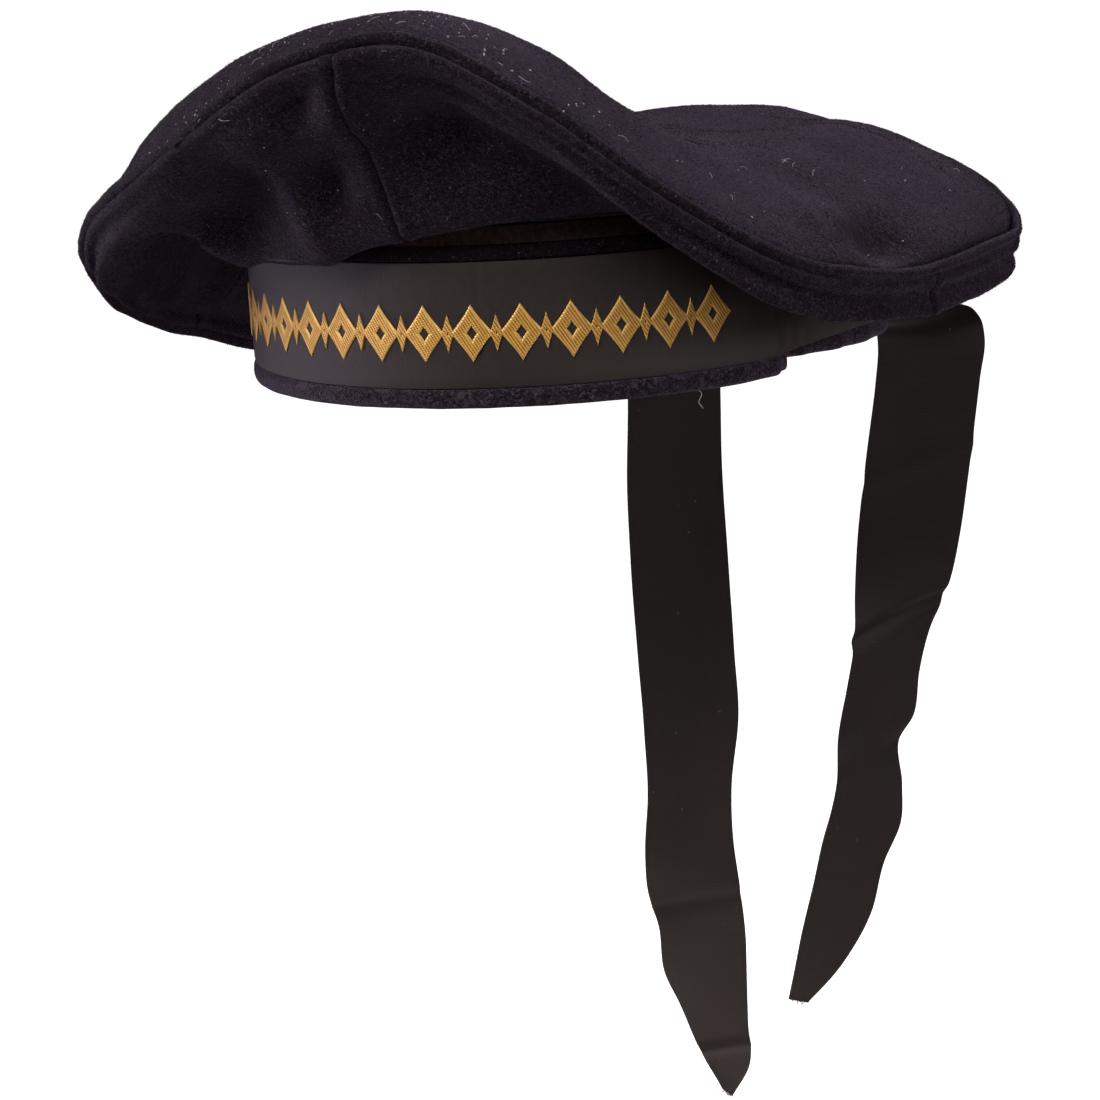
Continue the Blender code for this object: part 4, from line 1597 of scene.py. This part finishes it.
@dataclass
class Band:
    """The upright band with its lower roll, upper welt and seam tape."""

    materials: Materials
    shape: BandShape = BandShape()
    welt_foot: float = 0.0365
    welt_height: float = 0.0035
    welt_depth: float = 0.0014
    tape_foot: float = 0.0404
    tape_height: float = 0.0045
    tape_thickness: float = 0.0008
    roll_foot: float = -0.0014
    roll_height: float = 0.0053
    roll_depth: float = 0.0044
    roll_out: float = -0.0004
    roll_sides: int = 22
    roll_step: float = 0.8
    squareness: float = 0.72
    swell: tuple[Lumps, ...] = (Lumps(0.05, 0.016, 5.2), Lumps(0.03, 0.005, 9.4))
    cloth_wave: Lumps = Lumps(0.0001, 0.012, 1.7)
    tape_wave: Lumps = Lumps(0.0003, 0.012, 1.7)
    squash: tuple[float, ...] = (1.0, 1.0, 2.5)
    thread_angle: float = 319.5
    thread_start: float = 0.0006
    thread_length: float = 0.0056
    thread_radius: float = 0.00009
    thread_swing: float = 0.0016

    def build_cloth(self, levels: Array, outs: tuple[float, float], wave: Lumps, slot: int) -> Solid:
        """Return an upright ring of cloth that follows the band.

        Args:
            levels: its heights.
            outs: how far out of the band's face its inner and its outer face are.
            wave: how its outer face is wavy.
            slot: the material slot of its inner face.

        Returns:
            The ring, not yet made a piece.
        """
        angles, heights = np.meshgrid(np.arange(360.0), levels, indexing="ij")
        inner, outer = (self.shape.face(angles, heights, out) for out in outs)
        outer = outer + unit(outer - inner) * wave.at(outer * self.squash)[..., None]
        solid = Solid()
        solid.wall(outer, inner, True, slot)
        solid.weave(np.radians(angles) * self.shape.half_width, heights, 2)
        return solid

    def build_roll(self, half_out: float, half_up: float, centre: float, height: float) -> Solid:
        """Return a plump roll of wool round the band.

        Args:
            half_out: half its depth.
            half_up: half its height.
            centre: how far out its middle lies.
            height: its middle's height.

        Returns:
            The roll, not yet made a piece.
        """
        angles, turn = np.meshgrid(
            np.arange(0.0, 360.0, self.roll_step), ring(self.roll_sides), indexing="ij"
        )
        out = half_out * squared(np.cos(turn), self.squareness)
        up = half_up * squared(np.sin(turn), self.squareness)
        level = 0.0 if height < self.shape.foot else None
        points = self.shape.face(angles, height + up, centre + out, level)
        middle = self.shape.face(angles, np.full_like(up, height), np.full_like(up, centre), level)
        swell = 1 + sum(part.at(points) for part in self.swell)
        solid = Solid()
        start = solid.add(middle + (points - middle) * swell[..., None])
        solid.join(start, ring_faces(*turn.shape, True))
        return solid

    def build(self) -> None:
        """Make every ring of the band."""
        looks = self.materials
        levels = np.linspace(self.shape.foot, self.shape.top, 14)
        solid = self.build_cloth(levels, (-self.shape.wall, 0.0), self.cloth_wave, 1)
        solid.piece("band_cloth", [looks[Look.WOOL], looks[Look.LINING]], "navy_wool", ["head_band"])
        middle = self.roll_foot + self.roll_height / 2
        solid = self.build_roll(self.roll_depth / 2, self.roll_height / 2, self.roll_out, middle)
        solid.piece("band_roll", [looks[Look.ROLL]], "navy_wool", ["band_lower_welt"])
        middle = self.welt_foot + self.welt_height / 2
        half = self.welt_depth / 2
        solid = self.build_roll(half, self.welt_height / 2, GAP + half, middle)
        solid.piece("band_welt", [looks[Look.WELT]], "navy_wool", ["band_upper_welt"])
        levels = self.tape_foot + self.tape_height * np.linspace(0.0, 1.0, 8)
        solid = self.build_cloth(levels, (GAP, GAP + self.tape_thickness), self.tape_wave, 0)
        solid.piece("seam_tape_cloth", [looks[Look.TAPE]], "black_tape", ["seam_tape"])
        self.build_loose_thread()

    def build_loose_thread(self) -> None:
        """Make the loose thread that hangs below the roll."""
        share = np.linspace(0.0, 1.0, 13)
        angles = self.thread_angle + 1.6 * share + 0.5 * np.sin(share * 7.0)
        heights = self.roll_foot + self.thread_start - self.thread_length * share**1.2
        out = self.roll_out + self.thread_swing * np.sin(share * 4.0)
        solid = Solid()
        solid.tube(self.shape.face(angles, heights, out, 0.0), np.full(13, self.thread_radius), 5)
        solid.piece("loose_thread", [self.materials[Look.LINT]], "navy_wool")


@dataclass
class Ribbon:
    """The ribbon round the band, with its woven gold figures and its knot.

    A lozenge is given by half its width and by half its hole's width and height. A spindle is given by
    half its width, its height's share of the lozenge's and its hole's share of its own size.
    """

    materials: Materials
    shape: BandShape = BandShape()
    width: float = 0.032
    foot: float = 0.0040
    face_out: float = 0.0010
    thickness: float = 0.0006
    figure_start: float = 204.0
    figure_end: float = 327.0
    figure_count: int = 15
    figure_height: float = 0.0148
    figure_level: float = 0.0181
    figure_rise: float = 0.00045
    lozenge: tuple[float, float, float] = (0.0057, 0.0014, 0.0020)
    spindle: tuple[float, float, float] = (0.0017, 0.66, 0.12)
    hollowness: float = 2.24
    wave: Lumps = Lumps(0.00012, 0.020, 4.4)
    stretch: tuple[float, ...] = (1.0, 1.0, 0.5)
    edge: Ridge = Ridge(0.0, 0.0006, -0.00018)
    crease: Ridge = Ridge(283.5, 0.5, -0.00028)

    def arc(self) -> tuple[Array, Array]:
        """Return angles all round and the ribbon's length up to each.

        Returns:
            The angles and the lengths.
        """
        angles = np.arange(0.0, 361.0)
        points = self.shape.ribbon(angles, np.zeros_like(angles), self.face_out)
        return angles, reach_along(points)

    def build(self) -> None:
        """Make the loop, the figures and the knot."""
        self.build_loop()
        self.build_figures()
        Knot(self.materials).build()

    def build_loop(self) -> None:
        """Make the ribbon round the band."""
        stops, lengths = self.arc()
        levels = np.linspace(self.foot, self.foot + self.width, 26)
        angles, heights = np.meshgrid(np.arange(0.0, 360.0, 0.5), levels, indexing="ij")
        face = self.shape.ribbon(angles, heights, self.face_out)
        way = unit(self.shape.ribbon(angles, heights, self.face_out + self.thickness) - face)
        beside = np.minimum(heights - self.foot, self.foot + self.width - heights)
        ripple = self.wave.at(face * self.stretch) + self.crease.at(angles) + self.edge.at(beside)
        solid = Solid()
        solid.wall(face + way * ripple[..., None], face - way * self.thickness, True)
        solid.weave(np.interp(angles, stops, lengths), heights, 2)
        solid.piece("ribbon_cloth", [self.materials[Look.SILK]], "black_ribbon", ["ribbon_loop"])

    def outline(self, half_width: float, half_height: float, count: int) -> Array:
        """Return a lozenge's outline with slightly hollow sides.

        Args:
            half_width: half its width.
            half_height: half its height.
            count: how many points it has.

        Returns:
            The points' places along the ribbon and up it.
        """
        x, y = (squared(part(ring(count)), self.hollowness) for part in (np.cos, np.sin))
        return np.stack([half_width * x, half_height * y], axis=-1)

    def figure(self, solid: Solid, centre: float, outer: Array, inner: Array) -> None:
        """Add one raised woven figure between two outlines.

        Args:
            solid: the piece that it is added to.
            centre: its place along the ribbon.
            outer: its outer outline.
            inner: its inner outline, which may be a point.
        """
        stops, lengths = self.arc()
        across = np.array((0.0, 0.0, 0.10, 0.22, 0.5, 0.78, 0.90, 1.0, 1.0))
        lift = np.array((-0.2, 0.5, 0.95, 1.0, 0.90, 1.0, 0.95, 0.5, -0.2)) * self.figure_rise
        border = np.array((1.0, 1.0, 0.8, 0.2, 0.0, 0.2, 0.8, 1.0, 1.0))
        plan = outer[:, None] + (inner - outer)[:, None] * across[None, :, None]
        along = centre + plan[..., 0]
        heights = self.figure_level + plan[..., 1]
        angles = np.interp(along, lengths, stops)
        points = self.shape.ribbon(angles, heights, self.face_out + np.broadcast_to(lift, along.shape))
        faces = [(a, d, c, b) for a, b, c, d in ring_faces(*along.shape, True)]
        solid.join(solid.add(points), faces)
        solid.weave(along, heights)
        solid.mark("border", np.broadcast_to(border, along.shape).ravel())

    def build_figures(self) -> None:
        """Make the row of woven lozenges, with slim spindles between them."""
        stops, lengths = self.arc()
        start, end = np.interp((self.figure_start, self.figure_end), stops, lengths)
        pitch = (end - start) / self.figure_count
        solid = Solid()
        half = self.figure_height / 2
        wide, hole_wide, hole_high = self.lozenge
        slim_wide, slim_share, slim_hole = self.spindle
        outer, inner = self.outline(wide, half, 56), self.outline(hole_wide, hole_high, 56)
        slim = self.outline(slim_wide, half * slim_share, 32)
        for number in range(self.figure_count):
            centre = start + pitch * (number + 0.5)
            self.figure(solid, centre, outer, inner)
            if number:
                self.figure(solid, centre - pitch / 2, slim, slim * slim_hole)
        solid.piece("woven_figures", [self.materials[Look.GOLD]], "black_ribbon")


@dataclass
class Knot:
    """The flat knot behind the band: pleated wings pinched by one snug wrap."""

    materials: Materials
    shape: BandShape = BandShape()
    level: float = 0.0180
    start_out: float = 0.0013
    wing_reach: float = 0.0215
    wing_height: float = 0.0300
    wing_out: float = 0.0005
    wing_swell: float = 0.0021
    waist_height: float = 0.0190
    wrap_width: float = 0.0125
    wrap_height: float = 0.0255
    wrap_depth: float = 0.0046
    wrap_pleat: float = 0.00035
    wrap_pitch: float = 0.0031
    thickness: float = 0.0006
    squareness: float = 0.6

    def place(self, across: Array, heights: Array, out: Array) -> Array:
        """Return points over the back of the ribbon.

        Args:
            across: their places along the ribbon, from the knot's middle.
            heights: their heights.
            out: how far out of the ribbon they are.

        Returns:
            The points.
        """
        angles = 90.0 - np.degrees(across / self.shape.half_width)
        return self.shape.ribbon(angles, heights, self.start_out + out)

    def build(self) -> None:
        """Make the wings and the wrap as one piece in the knot's place."""
        solid = Solid()
        self.add_wings(solid)
        self.add_wrap(solid)
        solid.piece("knot_cloth", [self.materials[Look.SILK]], "black_ribbon", ["ribbon_knot"])

    def add_wings(self, solid: Solid) -> None:
        """Add the pleated cloth that fans out on both sides of the wrap.

        Args:
            solid: the piece that it is added to.
        """
        share, up = np.meshgrid(np.linspace(-1.0, 1.0, 61), np.linspace(-0.5, 0.5, 45), indexing="ij")
        spread = np.abs(share) ** 1.4
        height = self.waist_height + (self.wing_height - self.waist_height) * spread
        pleat = 0.5 + 0.5 * np.cos(up * 31.0 + 1.2 * np.sign(share) * (1 - spread))
        out = self.wing_out + self.wing_swell * (1 - spread) * (0.45 + 0.55 * pleat)
        heights = self.level + up * height
        outer = self.place(share * self.wing_reach, heights, out + self.thickness)
        inner = self.place(share * self.wing_reach, heights, out)
        solid.wall(inner, outer, False)
        solid.weave(share * self.wing_reach, up * self.wing_height, 2)

    def add_wrap(self, solid: Solid) -> None:
        """Add the snug wrap, a rounded pad with pleats that slant across it.

        Args:
            solid: the piece that it is added to.
        """
        up, turn = np.meshgrid(np.linspace(-0.5, 0.5, 49), ring(72), indexing="ij")
        narrow = 1.0 - 0.14 * np.cos(2 * math.pi * up) ** 2
        end = (1 - (np.abs(2 * up)) ** 6) ** 0.5
        side = squared(np.cos(turn), self.squareness)
        depth = 0.5 + 0.5 * squared(np.sin(turn), self.squareness)
        across = self.wrap_width / 2 * side * narrow * (0.55 + 0.45 * end)
        slant = across + 0.25 * up * self.wrap_height
        pleat = self.wrap_pleat * np.cos(slant / self.wrap_pitch * math.tau) * depth * end
        out = self.wrap_depth * depth * (0.30 + 0.70 * end) + pleat
        heights = self.level + up * self.wrap_height
        points = self.place(across, heights, out)
        rows, columns = up.shape
        last = (rows - 1) * columns
        ends = [tuple(reversed(range(columns))), tuple(last + k for k in range(columns))]
        solid.join(solid.add(points), ring_faces(rows, columns, False) + ends)
        solid.weave(up * self.wrap_height, across)


class TailSide(Enum):
    """The two tails, as seen from the front."""

    LEFT = "left"
    RIGHT = "right"


class Crease(NamedTuple):
    """A crease across a tail: its height, how much it climbs across, its spread and its depth."""

    side: TailSide
    height: float
    climb: float
    spread: float
    depth: float


CREASES = (
    #      side            height  climb   spread  depth
    Crease(TailSide.LEFT, -0.194, 0.0010, 0.0020, -0.0006),
    Crease(TailSide.LEFT, -0.243, 0.0006, 0.0016, 0.0011),
    Crease(TailSide.RIGHT, -0.045, 0.0085, 0.0024, 0.0009),
    Crease(TailSide.RIGHT, -0.090, 0.0093, 0.0022, -0.0013),
)


@dataclass
class Tail:
    """One hanging ribbon tail, a thin sheet with creases and a slanted end."""

    materials: Materials
    side: TailSide
    shape: BandShape = BandShape()
    width: float = 0.032
    thickness: float = 0.0006
    root_back: float = 0.0027
    root_height: float = 0.0140
    turn: float = 27.0
    steps: int = 12
    columns: int = 17
    wave: Lumps = Lumps(0.0004, 0.018, 2.3)
    fray_count: int = 46
    fray_root: float = 0.0003
    fray_radius: float = 0.00007
    fray_lengths: tuple[float, float] = (0.0004, 0.0013)
    fray_turn: float = 0.0012
    fray_curl: float = 0.0005
    long_share: float = 0.12
    long_growth: float = 2.4

    def point(self, across: float, back: float, drop: float) -> Array:
        """Return the place of a point given in ribbon widths from the tails' root.

        Args:
            across: how far to the right it is.
            back: how far back.
            drop: how far down.

        Returns:
            The place.
        """
        turn = math.radians(self.turn)
        root = np.array((0.0, self.shape.half_length + self.root_back, self.root_height))
        side = np.array((math.cos(turn), math.sin(turn), 0.0))
        away = np.array((-math.sin(turn), math.cos(turn), 0.0))
        return root + self.width * (across * side + back * away - drop * np.array((0.0, 0.0, 1.0)))

    def grid(self) -> Array:
        """Return the tail's middle face, by place along it and across it.

        Returns:
            The face's points.
        """
        rows = TAIL_LEFT if self.side is TailSide.LEFT else TAIL_RIGHT
        left = np.array([self.point(row.left_across, row.left_back, row.left_drop) for row in rows])
        right = np.array([self.point(row.right_across, row.right_back, row.right_drop) for row in rows])
        sag = np.array([(0.0, 0.0, -row.sag * self.width) for row in rows])
        steps = [self.steps] * (len(rows) - 1)
        left, middle, right = (spline(edge, steps) for edge in (left, (left + right) / 2 + sag, right))
        share = np.linspace(0.0, 1.0, self.columns)[None, :, None]
        return (
            left[:, None] * (1 - share) * (1 - 2 * share)
            + middle[:, None] * 4 * share * (1 - share)
            + right[:, None] * share * (2 * share - 1)
        )

    def build(self) -> None:
        """Make the tail and the threads that fray out of its cut end."""
        grid = self.grid()
        normals = face_normals(grid, False)
        push = self.wave.at(grid)
        share = np.linspace(-0.5, 0.5, self.columns)
        for crease in CREASES:
            if crease.side is self.side:
                level = crease.height + crease.climb * share
                push += crease.depth * bell(grid[..., 2], level, crease.spread)
        grid = grid + normals * push[..., None]
        half = normals * self.thickness / 2
        solid = Solid()
        solid.wall(grid + half, grid - half, False)
        far = reach_along(grid[:, self.columns // 2])
        across = np.stack([reach_along(line) for line in grid])
        solid.weave(np.broadcast_to(far[:, None], across.shape), across, 2)
        node = f"ribbon_tail_{self.side.value}"
        looks = [self.materials[Look.TAIL]]
        piece = solid.piece(f"tail_cloth_{self.side.value}", looks, "black_ribbon", [node])
        self.build_fray(grid)

    def build_fray(self, grid: Array) -> None:
        """Make the short loose threads that stand out of the cut end.

        Args:
            grid: the tail's middle face.
        """
        rng = np.random.default_rng(3 if self.side is TailSide.LEFT else 4)
        solid = Solid()
        edge, before = grid[-1], grid[-3]
        share = np.linspace(0.0, 1.0, 6)[:, None]
        for place in rng.random(self.fray_count) * (self.columns - 1):
            index = min(int(place), self.columns - 2)
            start = edge[index] + (edge[index + 1] - edge[index]) * (place - index)
            way = unit(edge[index] - before[index] + rng.normal(0.0, self.fray_turn, 3))
            length = rng.uniform(*self.fray_lengths)
            length *= self.long_growth if rng.random() < self.long_share else 1.0
            curl = rng.normal(0.0, self.fray_curl, 3)
            line = start - way * self.fray_root + way * length * share + curl * share**2
            solid.tube(line, np.full(6, self.fray_radius), 4)
        solid.piece(f"tail_fray_{self.side.value}", [self.materials[Look.FRAY]], "black_ribbon")


def way_to(azimuth: float, elevation: float) -> Vector:
    """Return the way out to a place round the cap, from its azimuth off the front and its elevation."""
    turn, rise = math.radians(azimuth), math.radians(elevation)
    return Vector((math.sin(turn) * math.cos(rise), -math.cos(turn) * math.cos(rise), math.sin(rise)))


@dataclass
class Lens:
    """The camera, where the photograph was taken from."""

    azimuth: float = 26.6
    elevation: float = 11.52
    roll: float = 3.45
    distance: float = 1.0
    across: float = -0.00996
    up: float = -0.05646
    focal: float = 3592.0
    frame_size: float = 1100.0
    sensor: float = 36.0

    def build(self) -> None:
        """Make the camera and make it the scene's own."""
        turn, lean = math.radians(self.azimuth), math.radians(self.roll)
        right = Vector((math.cos(turn), math.sin(turn), 0.0))
        back = way_to(self.azimuth, self.elevation)
        above = back.cross(right)
        side = right * math.cos(lean) - above * math.sin(lean)
        top = right * math.sin(lean) + above * math.cos(lean)
        data = bpy.data.cameras.new("camera")
        data.sensor_width = self.sensor
        data.lens = self.focal / self.frame_size * self.sensor
        data.clip_end = 20.0
        item = bpy.data.objects.new("camera", data)
        place = back * self.distance + right * self.across + above * self.up
        basis = Matrix((side, top, back)).transposed().to_4x4()
        item.matrix_world = Matrix.Translation(place) @ basis
        bpy.context.scene.collection.objects.link(item)
        bpy.context.scene.camera = item


class Lamp(NamedTuple):
    """One soft light: where it stands round the cap, its size and its power."""

    name: str
    azimuth: float
    elevation: float
    distance: float
    size: float
    power: float
    colour: Colour
    aim: tuple[float, float, float] = (0.0, 0.0, 0.0)


@dataclass
class Studio:
    """The white paper floor, the soft lights and the pale surroundings."""

    floor_height: float = -0.42
    radius: float = 3.0
    bend: float = 1.2
    wall: float = 4.0
    sides: int = 72
    surroundings: float = 0.042
    sky: Colour = (1.0, 0.50, 0.38)
    lamps: tuple[Lamp, ...] = (
        Lamp("key", -20.0, 43.0, 1.6, 0.8, 37.0, (1.0, 0.975, 0.955)),
        Lamp("left_low", -74.0, -8.0, 1.5, 0.5, 9.0, (0.82, 0.74, 1.0)),
        Lamp("left_front", -38.0, 8.0, 1.6, 0.6, 1.8, (1.0, 0.96, 0.98)),
        Lamp("right_fill", 70.0, 4.0, 1.8, 1.0, 9.0, (1.0, 0.96, 0.98)),
        Lamp("under_fill", 58.0, -14.0, 1.6, 0.8, 2.0, (0.88, 0.78, 1.0)),
        Lamp("right_back", 102.0, 12.0, 1.5, 0.5, 12.5, (0.98, 0.94, 1.0)),
        Lamp("tail_low", -10.0, -55.0, 0.30, 0.20, 1.7, (1.0, 0.97, 0.97), (0.05, 0.13, -0.26)),
    )

    def build(self) -> None:
        """Make the paper, the lights and the world."""
        self.build_paper()
        for lamp in self.lamps:
            self.build_lamp(lamp)
        world = bpy.data.worlds.new("pale_room")
        world.use_nodes = True
        sky = world.node_tree.nodes["Background"]
        sky.inputs["Color"].default_value = (*self.sky, 1.0)
        sky.inputs["Strength"].default_value = self.surroundings
        bpy.context.scene.world = world
        bpy.context.scene.view_settings.view_transform = "Standard"

    def build_paper(self) -> None:
        """Make the round floor and the paper that curves up all round it."""
        bend = np.linspace(0.0, math.pi / 2, 13)
        reach = [0.6 * self.radius, *(self.radius + self.bend * np.sin(bend)), self.radius + self.bend]
        rise = [0.0, *(self.bend * (1 - np.cos(bend))), self.wall]
        turns = ring(self.sides)
        rings = [
            np.stack([r * np.cos(turns), r * np.sin(turns), np.full_like(turns, h)], axis=-1)
            for r, h in zip(reach, rise)
        ]
        points = np.concatenate(rings) + (0.0, 0.0, self.floor_height)
        faces = [tuple(range(self.sides)), *ring_faces(len(rings), self.sides, False)]
        mesh = bpy.data.meshes.new("paper")
        mesh.from_pydata(points.tolist(), [], faces)
        mesh.shade_smooth()
        mesh.materials.append(Stage().material())
        item = bpy.data.objects.new("paper", mesh)
        item.visible_diffuse = False
        item.visible_glossy = False
        item.visible_shadow = False
        bpy.context.scene.collection.objects.link(item)

    def build_lamp(self, lamp: Lamp) -> None:
        """Make one square soft light that looks at the cap.

        Args:
            lamp: the light's row.
        """
        way = way_to(lamp.azimuth, lamp.elevation)
        data = bpy.data.lights.new(lamp.name, "AREA")
        data.size = lamp.size
        data.energy = lamp.power
        data.color = lamp.colour
        item = bpy.data.objects.new(lamp.name, data)
        item.location = Vector(lamp.aim) + way * lamp.distance
        item.rotation_euler = way.to_track_quat("Z", "Y").to_euler()
        bpy.context.scene.collection.objects.link(item)


def main() -> None:
    """Build the camera, the cap's pieces and the studio."""
    Lens().build()
    materials = {look: look.value.material() for look in Look}
    for side in TailSide:
        Tail(materials, side).build()
    crown = Crown(materials)
    crown.build()
    Nap(materials, crown).build()
    Lint(materials, crown).build()
    Band(materials).build()
    Ribbon(materials).build()
    Studio().build()


if __name__ == "__main__":
    logging.basicConfig(level=logging.INFO, format="%(message)s")
    main()
